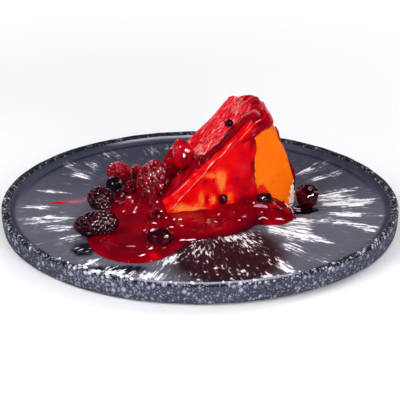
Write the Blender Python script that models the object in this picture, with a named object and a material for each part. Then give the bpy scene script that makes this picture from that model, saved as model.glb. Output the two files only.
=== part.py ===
"""A slice of baked cheesecake lying on its cut side on a wide plate, with berry sauce and berries.

Metres, +Z up.  The origin is the middle of the plate's underside.  +X runs to the right and +Y to
the back when the slice is seen with its smooth base to the front.
"""
import math

import bmesh
import bpy
import numpy as np
from mathutils import Euler, Vector

GAP = 0.0003                      # room left between neighbouring solids

# ---- plate -----------------------------------------------------------------------------------
PLATE_RADIUS = 0.135
PLATE_HEIGHT = 0.0146
FLOOR_Z = 0.009                   # top of the flat floor of the well
FLOOR_RADIUS = 0.1265
FLOOR_CURVE = 0.006               # width of the floor's slight rise towards the wall
FLOOR_RISE = 0.0001
RIM_WIDTH = 0.0048                # width of the rounded top of the rim
RIM_ROUND = 0.0018                # height of its rounding
WALL_LEAN = 0.0022                # how far the inner wall leans outwards
WALL_FOOT = 0.0012                # height above the floor where the inner wall turns into it
BELLY_Z = 0.0065                  # lowest place where the outer wall has its full radius
HEEL_RISE = 0.0016                # bevel between the outer wall and the foot ring
HEEL_INSET = 0.0011
FOOT_RADIUS = 0.1315
FOOT_WIDTH = 0.019
FOOT_BEVEL = 0.003
FOOT_RECESS = 0.0035              # depth of the hollow inside the foot ring
PLATE_STEPS = 68

# ---- slice: s runs through the cake's height, r out from the cake's axis, theta up from the plate
SEAT = (-0.0242, -0.0238)         # where the tip of the slice's base meets the plate
SEAT_TURN = math.radians(8.0)
SLICE_ANGLE = math.radians(47.5)
CAKE_HEIGHT = 0.064
BASE_RADIUS = 0.071               # flat part of the smooth base
CAKE_RADIUS = 0.0925              # widest place, where the soft cake bulges
BULGE_AT = 0.021                  # distance from the base to the widest place
TOP_RADIUS = 0.078
ROUNDING = 2.2                    # squareness of the rounded base edge, 2 is a quarter ellipse
CRUST_LEAN = 0.0030               # extra radius at the upper cut face
COARSE_WAVE = 0.0005              # unevenness of the crust, across and along it
FINE_WAVE = 0.0003
TIP_SLIP = 0.0055                 # the knife stood askew, so the tip runs past the axis at the back
OOZE_AT = 0.030                   # soft filling pressed out through the crust, low on its side
OOZE_ANGLE = math.radians(8.0)
OOZE_LENGTH = 0.012
OOZE_SPREAD = math.radians(5.5)
OOZE_RISE = 0.0016
FACE_SWELL = 0.0007               # unevenness of the base, and half that of the baked top
THETA_STEPS = 12

# ---- sauce -----------------------------------------------------------------------------------
BLANKET_START = 0.0075            # distance of the blanket's lower edge from the tip line
BLANKET_GAP = 1.6 * GAP
BLANKET_THICK = 0.0023            # in the strip along the base's edge
BLANKET_THIN = 0.0015             # behind the strip
BLANKET_LEAST = 0.0007
STRIP_WIDTH = 0.024
BLANKET_TAPER = 0.12              # share of the way up the cut over which it gains its thickness
STREAK_WAVES = 900.0              # streaks behind the strip, in radians a metre from the base
LIP_AT_BASE = 0.010               # how far the blanket hangs down over the crust beside the base
LIP_LENGTH = 0.020                # and from LIP_RUN back
LIP_RUN = 0.017
LIP_DRIP = 0.0015                 # how much longer its drips are
LIP_WAVES = 300.0
LIP_THICK = 0.0026
POOL_DEPTH = 0.0034
BANK_RISE = 0.0045                # sauce heaped against the base of the slice
BANK_REACH = 0.011
BANK_RUN = 0.045                  # distance along the base over which the bank gains its height
TONGUE = (0.050, -0.025)          # the thick tongue at the right
TONGUE_RISE = 0.0014
TONGUE_REACH = 0.013
HEAP = (-0.034, -0.003)           # sauce heaped under the berries left of the slice's tip
HEAP_RISE = 0.0030
HEAP_REACH = 0.016
POOL_LIP = 0.0009                 # height of the upright part of the pool's edge
POOL_EDGE = 0.0035                # width of its rounded edge
POOL_COLUMNS = 22
POOL_ROWS = 10
ROOM_DEPTH = 0.004                # how far the room cut for the slice reaches below its underside
SLICE_ROOM = 2.2 * GAP            # clearance of the rooms that the pool leaves
BERRY_ROOM = 2.3 * GAP

# front and back edge of the pool on the plate, from its left end to its right end, in millimetres
POOL_FRONT_MM = (
    (-73, -56), (-70, -71), (-62, -84), (-49, -93), (-33, -94), (-20, -84), (-9, -67.5),
    (14, -56), (30, -45), (38, -36), (54, -35.5), (64, -25),
)
POOL_BACK_MM = (
    (-73, -56), (-70, -30), (-65, -8), (-56, 13), (-40, 22), (-25, 15), (-8, 3), (30, 0),
    (56, -8), (64, -25),
)

# ---- berries ---------------------------------------------------------------------------------
BRAMBLE_DRUPELETS = 62
RASPBERRY_DRUPELETS = 78
DRUPELET_DEPTH = 0.13             # depth of the clefts between drupelets, of the berry's radius
DRUPELET_REACH = 2.1              # angle from a drupelet's top to its cleft, times root of the count
LARGE_COMPOUND = 0.0092           # a larger berry of drupelets, or a larger smooth one, is finer
LARGE_SMOOTH = 0.005
COMPOUND_COLUMNS = (22, 32)       # columns of faces round a smaller and a larger berry
SMOOTH_COLUMNS = (12, 16)

# name, skin, place of the middle above the plate, half sizes, turns about X, Y and Z in degrees,
# all in millimetres; a last number is how far the sauce under the berry lifts it off the plate
PLATED_BERRIES_MM = (
    ("bramble_front", "bramble", (-66.6, -54.6), (15.0, 9.2, 8.9), (0, -3, 12)),
    ("bramble_back", "bramble", (-66.9, -12.8), (9.6, 9.2, 8.9), (0, 20, 40)),
    ("raspberry_tall", "raspberry", (-33.2, 3.4), (10.4, 10.0, 13.8), (-10, 24, 0), 2.8),
    ("raspberry_left", "raspberry", (-57.2, 38.6), (9.0, 7.8, 7.6), (0, 10, -14)),
    ("raspberry_rear", "raspberry", (-45.6, 47.5), (4.9, 5.0, 5.1), (0, 0, 20)),
    ("raspberry_low", "raspberry", (-46.8, 12.0), (5.2, 5.2, 5.8), (0, 0, 30)),
    ("dark_berry_left", "dark_berry", (-60.0, 21.4), (5.9, 5.8, 5.7), (0, 0, 0)),
    ("dark_berry_small", "dark_berry", (-54.9, 5.0), (4.2, 4.2, 4.2), (0, 0, 0)),
    ("dark_berry_pool", "dark_berry", (-25.5, -68.8), (8.9, 7.6, 6.2), (0, 0, -8)),
    ("dark_berry_right", "dark_berry", (72.5, -7.2), (8.4, 8.2, 8.8), (0, 0, 0)),
    ("dark_berry_rear", "dark_berry", (63.2, 46.0), (4.0, 4.0, 4.0), (0, 0, 0)),
    ("currant_left", "currant", (-47.5, -8.2), (4.6, 4.4, 4.3), (0, 0, 0)),
    ("currant_tip", "currant", (-29.2, -33.4), (5.0, 4.8, 4.8), (0, 0, 0)),
)
# berries that lie on the slice or on the sauce, in the slice's own frame (across, back, up)
SLICE_BERRIES_MM = (
    ("dark_berry_foot", "dark_berry", (67.0, -6.4, 11.1), (5.8, 5.8, 5.8), (0, 0, 0)),
    ("currant_front", "dark_berry", (39.6, -3.6, 12.4), (3.1, 2.9, 3.7), (0, 14, 0)),
    ("currant_top", "dark_berry", (46.0, 15.4, 59.3), (3.2, 3.0, 2.7), (0, 0, 0)),
    ("raspberry_slope", "raspberry", (14.6, 30.2, 33.4), (12.6, 10.0, 8.2), (0, -46, 0)),
)

SKINS = {
    "bramble": ((0.022, 0.006, 0.016), 0.22),
    "raspberry": ((0.33, 0.006, 0.022), 0.25),
    "dark_berry": ((0.030, 0.003, 0.012), 0.15),
    "currant": ((0.36, 0.004, 0.014), 0.15),
    "stoneware": ((0.105, 0.098, 0.125), 0.55),
    "cake": ((0.93, 0.38, 0.055), 0.55),
    "sauce": ((0.42, 0.002, 0.012), 0.12),
}


def millimetres(values):
    """Return the numbers, given in millimetres, as metres."""
    return np.array(values, dtype=float) * 0.001


def skin(name):
    """Return the material of this name, made on first use."""
    if name in bpy.data.materials:
        return bpy.data.materials[name]
    colour, roughness = SKINS[name]
    material = bpy.data.materials.new(name)
    material.use_nodes = True
    shader = material.node_tree.nodes["Principled BSDF"]
    shader.inputs["Base Color"].default_value = (*colour, 1.0)
    shader.inputs["Roughness"].default_value = roughness
    shader.inputs["Metallic"].default_value = 0.0
    return material


def add_object(name, mesh, material, parent=None, smooth_angle=40.0):
    """Link a mesh as a named object with its material, shaded smooth except at sharp edges."""
    mesh.materials.append(skin(material))
    mesh.shade_smooth()
    mesh.set_sharp_from_angle(angle=math.radians(smooth_angle))
    piece = bpy.data.objects.new(name, mesh)
    piece.parent = parent
    bpy.context.scene.collection.objects.link(piece)
    return piece


def mesh_from(name, build):
    """Make a mesh from what build() adds to a bmesh, with its faces turned outwards."""
    shape = bmesh.new()
    build(shape)
    bmesh.ops.recalc_face_normals(shape, faces=shape.faces)
    bmesh.ops.triangulate(shape, faces=shape.faces)
    mesh = bpy.data.meshes.new(name)
    shape.to_mesh(mesh)
    shape.free()
    return mesh


# ---- plate -----------------------------------------------------------------------------------
def plate_profile():
    """Half section of the plate, from the middle of the underside round the rim to the floor."""
    rim_middle = PLATE_RADIUS - RIM_WIDTH / 2
    rim = []
    for turn in np.linspace(0.0, math.pi, 7):
        rise = RIM_ROUND * math.sin(turn)
        rim.append((rim_middle + RIM_WIDTH / 2 * math.cos(turn), PLATE_HEIGHT - RIM_ROUND + rise))
    return [
        (0.0, FOOT_RECESS),
        (FOOT_RADIUS - FOOT_WIDTH - FOOT_BEVEL, FOOT_RECESS),
        (FOOT_RADIUS - FOOT_WIDTH, 0.0),
        (FOOT_RADIUS, 0.0),
        (PLATE_RADIUS - HEEL_INSET, HEEL_RISE),
        (PLATE_RADIUS, BELLY_Z),
        *rim,
        (PLATE_RADIUS - RIM_WIDTH - WALL_LEAN / 2, FLOOR_Z + WALL_FOOT),
        (FLOOR_RADIUS, FLOOR_Z + FLOOR_RISE),
        (FLOOR_RADIUS - FLOOR_CURVE, FLOOR_Z),
        (0.0, FLOOR_Z),
    ]


def build_plate(shape):
    """Spin the half section a full turn round the vertical axis."""
    corners = [shape.verts.new((radius, 0.0, height)) for radius, height in plate_profile()]
    edges = [shape.edges.new(pair) for pair in zip(corners, corners[1:])]
    bmesh.ops.spin(
        shape, geom=corners + edges, cent=(0, 0, 0), axis=(0, 0, 1),
        angle=math.tau, steps=PLATE_STEPS, use_duplicate=False,
    )
    bmesh.ops.remove_doubles(shape, verts=shape.verts, dist=0.00001)


# ---- slice -----------------------------------------------------------------------------------
def crust_profile(edge_steps=8, side_steps=7):
    """Distance from the base and radius of the crust, from the base's edge to the baked top."""
    turn = np.linspace(0.0, math.pi / 2, edge_steps)
    power = 2.0 / ROUNDING
    edge_s = BULGE_AT * (1.0 - np.abs(np.cos(turn)) ** power)
    edge_r = BASE_RADIUS + (CAKE_RADIUS - BASE_RADIUS) * np.abs(np.sin(turn)) ** power
    along = np.linspace(0.0, 1.0, side_steps + 1)[1:]
    side_s = BULGE_AT + (CAKE_HEIGHT - BULGE_AT) * along
    side_r = CAKE_RADIUS - (CAKE_RADIUS - TOP_RADIUS) * (0.7 * along + 0.3 * along ** 3)
    return np.concatenate((edge_s, side_s)), np.concatenate((edge_r, side_r))


def crust_radius(distance, radius, theta):
    """The crust's radius at an angle: it leans out towards the upper cut, and it is a bit wavy."""
    turn = theta / SLICE_ANGLE
    lean = CRUST_LEAN * (radius / CAKE_RADIUS) * turn ** 2
    wave = COARSE_WAVE * np.sin(9.0 * theta + 90.0 * distance) + FINE_WAVE * np.sin(23.0 * theta)
    beside = ((theta - OOZE_ANGLE) / OOZE_SPREAD) ** 2 + ((distance - OOZE_AT) / OOZE_LENGTH) ** 2
    return radius + lean + wave * np.sin(math.pi * turn) + OOZE_RISE * np.exp(-beside)


def tip_place(distance):
    """How far left of the cake's axis the tip of the slice lies, at a distance from its base."""
    return -TIP_SLIP * np.clip(distance / CAKE_HEIGHT, 0.0, 1.0)


def slice_point(distance, share, radius, theta):
    """Place a point in the slice's own frame, at a share of the way from its tip to the crust."""
    tip = tip_place(distance)
    across = tip + share * (radius * np.cos(theta) - tip)
    return np.stack((across, distance + 0.0 * across, share * radius * np.sin(theta)), -1)


def build_slice(shape):
    """Join the profile at each angle into the crust, and close both cuts, the base and the top."""
    profile_s, profile_r = crust_profile()
    core = np.linspace(0.0, 1.0, 6)[1:-1]
    share = np.concatenate((core, np.ones(len(profile_s)), core[::-1]))
    radius = np.concatenate((0 * core + profile_r[0], profile_r, 0 * core + profile_r[-1]))
    rows = []
    for theta in np.linspace(0.0, SLICE_ANGLE, THETA_STEPS + 1):
        swell = FACE_SWELL * math.sin(math.pi * theta / SLICE_ANGLE)
        base_s = -swell * np.sin(core * 5.0)
        top_s = CAKE_HEIGHT + 2.0 * swell * np.sin(core[::-1] * 9.0 + 3.0 * theta)
        distance = np.concatenate((base_s, profile_s, top_s))
        wavy = crust_radius(distance, radius, theta)
        places = slice_point(distance, share, wavy, theta)
        rows.append([shape.verts.new(place) for place in places])
    base_tip = shape.verts.new((0.0, 0.0, 0.0))
    top_tip = shape.verts.new((-TIP_SLIP, CAKE_HEIGHT, 0.0))
    for low, high in zip(rows, rows[1:]):
        for index in range(len(low) - 1):
            shape.faces.new((low[index], low[index + 1], high[index + 1], high[index]))
        shape.faces.new((base_tip, low[0], high[0]))
        shape.faces.new((top_tip, high[-1], low[-1]))
    for row in (rows[0], rows[-1]):
        shape.faces.new([base_tip] + row + [top_tip])


# ---- sauce blanket over the upper cut and the crust's corner ----------------------------------
def crust_normals(profile_s, profile_r):
    """Outward direction of the crust in its profile, as its parts along s and along the radius."""
    step_s = np.gradient(profile_s)
    step_r = np.gradient(profile_r)
    length = np.hypot(step_s, step_r)
    return -step_r / length, step_s / length


def lip_length(distance):
    """How far the sauce hangs down the crust: shortest beside the base, in drips further back."""
    reach = np.clip(distance / LIP_RUN, 0.0, 1.0)
    drips = LIP_DRIP * np.sin(LIP_WAVES * distance) * reach ** 2
    return LIP_AT_BASE + (LIP_LENGTH - LIP_AT_BASE) * reach + drips


def blanket_thickness(distance, share):
    """Sauce on the upper cut: thick in a strip near the base, thinner and streaky behind it."""
    strip = 1.0 / (1.0 + np.exp((distance - STRIP_WIDTH) / 0.002))
    streaks = 0.85 + 0.15 * np.sin(STREAK_WAVES * distance + 5.0 * share)
    thin = BLANKET_THIN * streaks
    return thin + (BLANKET_THICK - thin) * strip


def blanket_grids():
    """Inner and outer face of the blanket: rows along the profile, columns up the cut and over."""
    profile_s, profile_r = crust_profile(edge_steps=7, side_steps=7)
    normal_s, normal_r = crust_normals(profile_s, profile_r)
    up_cut = np.linspace(0.0, 1.0, 11)
    sweep = np.linspace(0.0, 1.0, 4)[1:-1]
    down = np.linspace(0.0, 1.0, 8)
    inner, outer = [], []
    for row, (distance, radius) in enumerate(zip(profile_s, profile_r)):
        corner_r = crust_radius(distance, radius, SLICE_ANGLE)
        corner = slice_point(distance, 1.0, corner_r, SLICE_ANGLE)
        tip = slice_point(distance, 0.0, corner_r, SLICE_ANGLE)
        start = BLANKET_START / corner_r
        share = start + (1.0 - start) * up_cut
        rise = (corner - tip) / np.linalg.norm(corner - tip)
        cut_normal = np.array((-rise[2], 0.0, rise[0]))
        along_s = (row + 0.35) / (len(profile_s) - 0.3)
        edge = math.sin(math.pi * along_s) ** 0.5
        bases = [slice_point(distance, value, corner_r, SLICE_ANGLE) for value in share]
        normals = [cut_normal] * len(share)
        gain = np.clip(up_cut / BLANKET_TAPER + 0.3, 0.0, 1.0)
        thick = list(blanket_thickness(distance, share) * gain)
        crust_normal = np.array((
            normal_r[row] * math.cos(SLICE_ANGLE), normal_s[row],
            normal_r[row] * math.sin(SLICE_ANGLE),
        ))
        for part in sweep:
            mixed = cut_normal * (1.0 - part) + crust_normal * part
            bases.append(corner)
            normals.append(mixed / np.linalg.norm(mixed))
            thick.append(LIP_THICK)
        for part in down:
            theta = SLICE_ANGLE - part * lip_length(distance) / corner_r
            bases.append(slice_point(distance, 1.0, crust_radius(distance, radius, theta), theta))
            normals.append(np.array((
                normal_r[row] * math.cos(theta), normal_s[row], normal_r[row] * math.sin(theta),
            )))
            thick.append(LIP_THICK * (0.4 + 0.6 * math.sqrt(1.0 - part ** 4)))
        bases = np.array(bases)
        normals = np.array(normals)
        thick = np.maximum(np.array(thick) * edge, BLANKET_LEAST)
        inner.append(bases + normals * BLANKET_GAP)
        outer.append(bases + normals * (BLANKET_GAP + thick[:, None]))
    return np.array(inner), np.array(outer)


def build_blanket(shape):
    """Close the two faces of the blanket along its border."""
    inner, outer = blanket_grids()
    faces = []
    for grid in (inner, outer):
        faces.append([[shape.verts.new(place) for place in row] for row in grid])
    low, high = faces
    rows, columns = len(low), len(low[0])
    for row in range(rows - 1):
        for column in range(columns - 1):
            for grid in faces:
                shape.faces.new((
                    grid[row][column], grid[row + 1][column],
                    grid[row + 1][column + 1], grid[row][column + 1],
                ))
    border = [(0, column) for column in range(columns)]
    border += [(row, columns - 1) for row in range(1, rows)]
    border += [(rows - 1, column) for column in range(columns - 2, -1, -1)]
    border += [(row, 0) for row in range(rows - 2, 0, -1)]
    for here, there in zip(border, border[1:] + border[:1]):
        shape.faces.new((
            low[here[0]][here[1]], low[there[0]][there[1]],
            high[there[0]][there[1]], high[here[0]][here[1]],
        ))


# ---- sauce pool ------------------------------------------------------------------------------
def smooth_line(points, steps):
    """Points of a smooth curve through the given ones, by the Catmull-Rom formula."""
    points = np.asarray(points)
    ends = (2.0 * points[:1] - points[1:2], points, 2.0 * points[-1:] - points[-2:-1])
    points = np.concatenate(ends)
    position = np.linspace(0.0, len(points) - 3.0, steps)
    index = np.minimum(position.astype(int), len(points) - 4)
    part = (position - index)[:, None]
    before, here, after, later = (points[index + shift] for shift in range(4))
    return 0.5 * (
        2.0 * here + (after - before) * part
        + (2.0 * before - 5.0 * here + 4.0 * after - later) * part ** 2
        + (3.0 * here - before - 3.0 * after + later) * part ** 3
    )


def pool_level(places):
    """Depth of the sauce: it is heaped against the slice's base and in the tongue at the right."""
    across = np.array((math.cos(SEAT_TURN), math.sin(SEAT_TURN)))
    offset = places - np.array(SEAT)
    along = offset @ across
    ahead = offset @ np.array((across[1], -across[0]))
    bank = np.clip(along / BANK_RUN, 0.0, 1.0) * np.exp(-np.clip(ahead, 0.0, 1.0) / BANK_REACH)
    tongue = np.exp(-np.sum((places - np.array(TONGUE)) ** 2, axis=1) / TONGUE_REACH ** 2)
    heap = np.exp(-np.sum((places - np.array(HEAP)) ** 2, axis=1) / HEAP_REACH ** 2)
    return POOL_DEPTH + BANK_RISE * bank + TONGUE_RISE * tongue + HEAP_RISE * heap


def pool_places(front, back):
    """Columns from the pool's left end to its right end, each from its front to its back edge."""
    middle = 0.5 * (front[0, 0] + front[-1, 0])
    reach = 0.5 * (front[-1, 0] - front[0, 0])
    across = middle - reach * np.cos(np.linspace(0.0, math.pi, POOL_COLUMNS + 2)[1:-1])
    near = np.interp(across, front[:, 0], front[:, 1])
    far = np.interp(across, back[:, 0], back[:, 1])
    share = 0.5 - 0.5 * np.cos(np.linspace(0.0, math.pi, POOL_ROWS + 1))
    deep = near[:, None] + (far - near)[:, None] * share
    return np.stack((np.repeat(across[:, None], POOL_ROWS + 1, axis=1), deep), -1)


def build_pool(shape):
    """A low body of sauce over its outline, with a rounded edge and a level that varies."""
    front = smooth_line(millimetres(POOL_FRONT_MM), 200)
    back = smooth_line(millimetres(POOL_BACK_MM), 200)
    outline = np.concatenate((front, back))
    grid = pool_places(front, back)
    floor = FLOOR_Z + GAP
    ends = np.array((front[0], front[-1]))
    places = np.concatenate((grid.reshape(-1, 2), ends))
    inset = np.linalg.norm(places[:, None] - outline[None], axis=2).min(axis=1)
    roundness = np.sqrt(1.0 - (1.0 - np.clip(inset / POOL_EDGE, 0.0, 1.0)) ** 2)
    level = POOL_LIP + (pool_level(places) - POOL_LIP) * roundness
    top = [shape.verts.new((*place, floor + rise)) for place, rise in zip(places, level)]
    low = [shape.verts.new((*place, floor)) for place in places]
    width = POOL_ROWS + 1
    left, right = len(places) - 2, len(places) - 1
    rim = [left] + [column * width for column in range(POOL_COLUMNS)] + [right]
    rim += [column * width + POOL_ROWS for column in range(POOL_COLUMNS - 1, -1, -1)]
    for column in range(POOL_COLUMNS - 1):
        for row in range(POOL_ROWS):
            corner = column * width + row
            shape.faces.new((
                top[corner], top[corner + width], top[corner + width + 1], top[corner + 1],
            ))
    for end, column in ((left, 0), (right, POOL_COLUMNS - 1)):
        for row in range(POOL_ROWS):
            corner = column * width + row
            shape.faces.new((top[end], top[corner], top[corner + 1]))
    for here, there in zip(rim, rim[1:] + rim[:1]):
        shape.faces.new((low[here], low[there], top[there], top[here]))
    shape.faces.new([low[index] for index in reversed(rim)])
    for vertex in [vertex for vertex in low if not vertex.link_faces]:
        shape.verts.remove(vertex)


def cut_away(piece, cutters):
    """Take the cutters away from a piece, keep its largest body and drop the loose scraps."""
    for cutter in cutters:
        cutter.hide_render = True
        cutter.display_type = "WIRE"
        cut = piece.modifiers.new("clear_" + cutter.name, "BOOLEAN")
        cut.operation = "DIFFERENCE"
        cut.object = cutter
    bpy.context.view_layer.update()
    seen = piece.evaluated_get(bpy.context.evaluated_depsgraph_get())
    mesh = bpy.data.meshes.new_from_object(seen)
    piece.modifiers.clear()
    for cutter in cutters:
        bpy.data.objects.remove(cutter)
    keep_largest_body(mesh)
    piece.data = mesh


def keep_largest_body(mesh):
    """Remove every separate body of the mesh but the one with the most faces."""
    shape = bmesh.new()
    shape.from_mesh(mesh)
    bodies = []
    unseen = set(shape.faces)
    while unseen:
        body = {unseen.pop()}
        front = list(body)
        while front:
            face = front.pop()
            for edge in face.edges:
                for other in edge.link_faces:
                    if other in unseen:
                        unseen.remove(other)
                        body.add(other)
                        front.append(other)
        bodies.append(body)
    bodies.sort(key=len)
    scraps = [face for body in bodies[:-1] for face in body]
    bmesh.ops.delete(shape, geom=scraps, context="FACES")
    bmesh.ops.triangulate(shape, faces=shape.faces)
    shape.to_mesh(mesh)
    shape.free()


def slice_cutter(cake):
    """The slice a little larger all round and deeper, as the room that the pool leaves for it."""
    shape = bmesh.new()
    shape.from_mesh(cake.data)
    shape.normal_update()
    pushed = [vertex.co + vertex.normal * SLICE_ROOM for vertex in shape.verts]
    for vertex, place in zip(shape.verts, pushed):
        if place.z < GAP:
            place.z = -ROOM_DEPTH
        if place.x < GAP:
            place.x -= ROOM_DEPTH / math.tan(SLICE_ANGLE)
        vertex.co = place
    mesh = bpy.data.meshes.new("slice_room")
    shape.to_mesh(mesh)
    shape.free()
    room = bpy.data.objects.new("slice_room", mesh)
    room.parent = cake.parent
    bpy.context.scene.collection.objects.link(room)
    return room


def berry_cutter(berry, half_sizes):
    """A smooth round body a little larger than a berry."""
    shape = bmesh.new()
    bmesh.ops.create_uvsphere(shape, u_segments=14, v_segments=8, radius=1.0)
    bmesh.ops.scale(shape, vec=Vector(half_sizes + BERRY_ROOM), verts=shape.verts)
    mesh = bpy.data.meshes.new(berry.name + "_room")
    shape.to_mesh(mesh)
    shape.free()
    room = bpy.data.objects.new(mesh.name, mesh)
    room.location = berry.location
    room.rotation_euler = berry.rotation_euler
    room.parent = berry.parent
    bpy.context.scene.collection.objects.link(room)
    return room


# ---- berries ---------------------------------------------------------------------------------
def spread_directions(count):
    """Unit directions spread evenly over a sphere along a spiral of golden turns."""
    index = np.arange(count) + 0.5
    height = 1.0 - 2.0 * index / count
    turn = index * math.pi * (3.0 - math.sqrt(5.0))
    ring = np.sqrt(1.0 - height ** 2)
    return np.column_stack((ring * np.cos(turn), ring * np.sin(turn), height))


def drupelet_relief(directions, count):
    """Radius over the berry, 1 on top of each drupelet and lower in the clefts between them."""
    angle = np.arccos(np.clip(directions @ spread_directions(count).T, -1.0, 1.0)).min(axis=1)
    reach = DRUPELET_REACH / math.sqrt(count)
    dome = np.sqrt(np.clip(1.0 - (angle / reach) ** 2, 0.0, 1.0))
    return 1.0 - DRUPELET_DEPTH * (1.0 - dome)


def berry_mesh(name, kind, half_sizes):
    """A round berry, or one built of drupelets, with its half sizes along its own axes."""
    drupelets = {"bramble": BRAMBLE_DRUPELETS, "raspberry": RASPBERRY_DRUPELETS}.get(kind)
    largest = half_sizes.max()
    if drupelets:
        columns = COMPOUND_COLUMNS[largest > LARGE_COMPOUND]
    else:
        columns = SMOOTH_COLUMNS[largest > LARGE_SMOOTH]
    shape = bmesh.new()
    bmesh.ops.create_uvsphere(
        shape, u_segments=columns, v_segments=columns // 2 + 1, radius=1.0,
    )
    directions = np.array([vertex.co for vertex in shape.verts])
    directions /= np.linalg.norm(directions, axis=1)[:, None]
    radius = np.ones(len(directions))
    if drupelets:
        count = drupelets if largest > LARGE_COMPOUND else drupelets // 2
        radius = drupelet_relief(directions, count)
    places = directions * radius[:, None] * half_sizes
    for vertex, place in zip(shape.verts, places):
        vertex.co = place
    bmesh.ops.triangulate(shape, faces=shape.faces)
    mesh = bpy.data.meshes.new(name)
    shape.to_mesh(mesh)
    shape.free()
    return mesh


def half_height(half_sizes, turns):
    """Height of a turned round body's middle above the surface that it rests on."""
    up = Euler(turns).to_matrix()[2]
    return math.sqrt(sum((part * size) ** 2 for part, size in zip(up, half_sizes)))


def add_berries(slice_seat):
    """Add every berry and return each with its half sizes."""
    berries = []
    for name, kind, (x, y), size, turns, *lift in PLATED_BERRIES_MM:
        half_sizes = millimetres(size)
        angles = [math.radians(value) for value in turns]
        berry = add_object(name, berry_mesh(name, kind, half_sizes), kind, smooth_angle=70.0)
        height = FLOOR_Z + GAP + half_height(half_sizes, angles) + sum(lift) * 0.001
        berry.location = (x * 0.001, y * 0.001, height)
        berry.rotation_euler = angles
        berries.append((berry, half_sizes))
    for name, kind, place, size, turns in SLICE_BERRIES_MM:
        half_sizes = millimetres(size)
        berry = add_object(
            name, berry_mesh(name, kind, half_sizes), kind, slice_seat, smooth_angle=70.0,
        )
        berry.location = millimetres(place)
        berry.rotation_euler = [math.radians(value) for value in turns]
        berries.append((berry, half_sizes))
    return berries


def main():
    for old in list(bpy.data.objects):
        bpy.data.objects.remove(old)
    add_object("plate", mesh_from("plate", build_plate), "stoneware")
    slice_seat = bpy.data.objects.new("slice_seat", None)
    slice_seat.location = (*SEAT, FLOOR_Z + GAP)
    slice_seat.rotation_euler = (0.0, 0.0, SEAT_TURN)
    bpy.context.scene.collection.objects.link(slice_seat)
    cake = add_object("cheesecake", mesh_from("cheesecake", build_slice), "cake", slice_seat)
    add_object("sauce_blanket", mesh_from("sauce_blanket", build_blanket), "sauce", slice_seat)
    berries = add_berries(slice_seat)
    pool = add_object("sauce_pool", mesh_from("sauce_pool", build_pool), "sauce")
    in_pool = (
        "bramble_front", "bramble_back", "raspberry_tall", "raspberry_low", "dark_berry_small",
        "dark_berry_pool", "dark_berry_foot", "currant_left", "currant_tip",
    )
    cutters = [slice_cutter(cake)]
    cutters += [berry_cutter(berry, size) for berry, size in berries if berry.name in in_pool]
    cut_away(pool, cutters)


main()
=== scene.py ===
"""Looks of a cheesecake slice with berry sauce on a stoneware plate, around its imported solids.

Metres, +Z up, in the solids' frame: the origin is the middle of the plate's underside, +X runs
right and +Y back.  The slice has its own frame, (across, back, up), which on_plate() turns into
this one.  Tables of places on the object are in millimetres and degrees; single lengths and the
lights are in metres.
"""

import math
from types import SimpleNamespace

import bmesh
import bpy
import numpy as np
from mathutils import Euler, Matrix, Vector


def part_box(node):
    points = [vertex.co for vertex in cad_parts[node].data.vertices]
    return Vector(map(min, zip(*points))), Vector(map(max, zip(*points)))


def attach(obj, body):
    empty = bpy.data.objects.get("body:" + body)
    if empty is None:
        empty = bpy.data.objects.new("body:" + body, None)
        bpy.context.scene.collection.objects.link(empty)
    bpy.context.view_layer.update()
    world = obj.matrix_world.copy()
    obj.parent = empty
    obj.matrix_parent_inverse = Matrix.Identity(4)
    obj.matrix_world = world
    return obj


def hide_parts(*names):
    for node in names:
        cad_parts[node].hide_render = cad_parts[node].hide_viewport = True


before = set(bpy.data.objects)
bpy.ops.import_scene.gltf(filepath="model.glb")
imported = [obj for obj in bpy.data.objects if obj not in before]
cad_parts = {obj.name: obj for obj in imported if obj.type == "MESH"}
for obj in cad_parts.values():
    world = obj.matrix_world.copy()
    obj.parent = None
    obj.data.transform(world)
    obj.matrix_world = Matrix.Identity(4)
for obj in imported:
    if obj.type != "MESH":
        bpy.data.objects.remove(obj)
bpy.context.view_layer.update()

MM = 0.001
WELD = 0.002 * MM                  # vertices nearer than this become one

# ---- plate -----------------------------------------------------------------------------------
PLATE_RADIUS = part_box("plate")[1].x
PLATE_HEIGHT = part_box("plate")[1].z
FLOOR_Z = 0.009
FLOOR_FLAT = 0.1225                # the floor is flat up to here, then it bends up to the rim
BEND_REACH, BEND_RISE = 0.0068, 0.0034
RIM_WIDTH, RIM_ROUND = 0.0048, 0.0018
WALL_LOW, WALL_TAPER = 0.0012, 0.0009
FOOT_RADIUS, FOOT_WIDTH, FOOT_RECESS = 0.1315, 0.019, 0.0035
PLATE_TURNS = 361
UNEVEN = 0.00012                   # how far a wall thrown by hand wanders
BRUSH_CENTRE = (0.0034, -0.0136)   # the brushed flecks run outwards from here

# ---- slice: s runs through the cake's height, r out from its axis, theta up from the plate -----
GAP = 0.0003                       # between the plate and the slice's lower cut
SEAT = (-0.0242, -0.0238)          # where its tip lies on the plate
SEAT_TURN = math.radians(8.0)
SLICE_ANGLE = math.radians(47.5)
CAKE_HEIGHT = 0.064
BASE_RADIUS = 0.071
CAKE_RADIUS = 0.0925
BULGE_AT = 0.021
TOP_RADIUS = 0.078
ROUNDING = 2.2                     # of the corner from the base to the crust; 2 is an ellipse
CRUST_LEAN = 0.0030                # how far the crust leans out at the upper cut
TIP_SLIP = 0.0055                  # how far the tip's edge moves out towards the baked top
SEAT_COS, SEAT_SIN = math.cos(SEAT_TURN), math.sin(SEAT_TURN)
CUT_COS, CUT_SIN = math.cos(SLICE_ANGLE), math.sin(SLICE_ANGLE)
CUT_OUT = np.array((-CUT_SIN, 0.0, CUT_COS))
UPRIGHT = np.array((0.0, 0.0, 1.0))

# ---- camera: where the photo was taken from ----------------------------------------------------
CAMERA_PLACE = (0.0, -0.83114487, 0.35985093)
CAMERA_TILT = math.radians(67.2955)
CAMERA_LENS = 118.28


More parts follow.
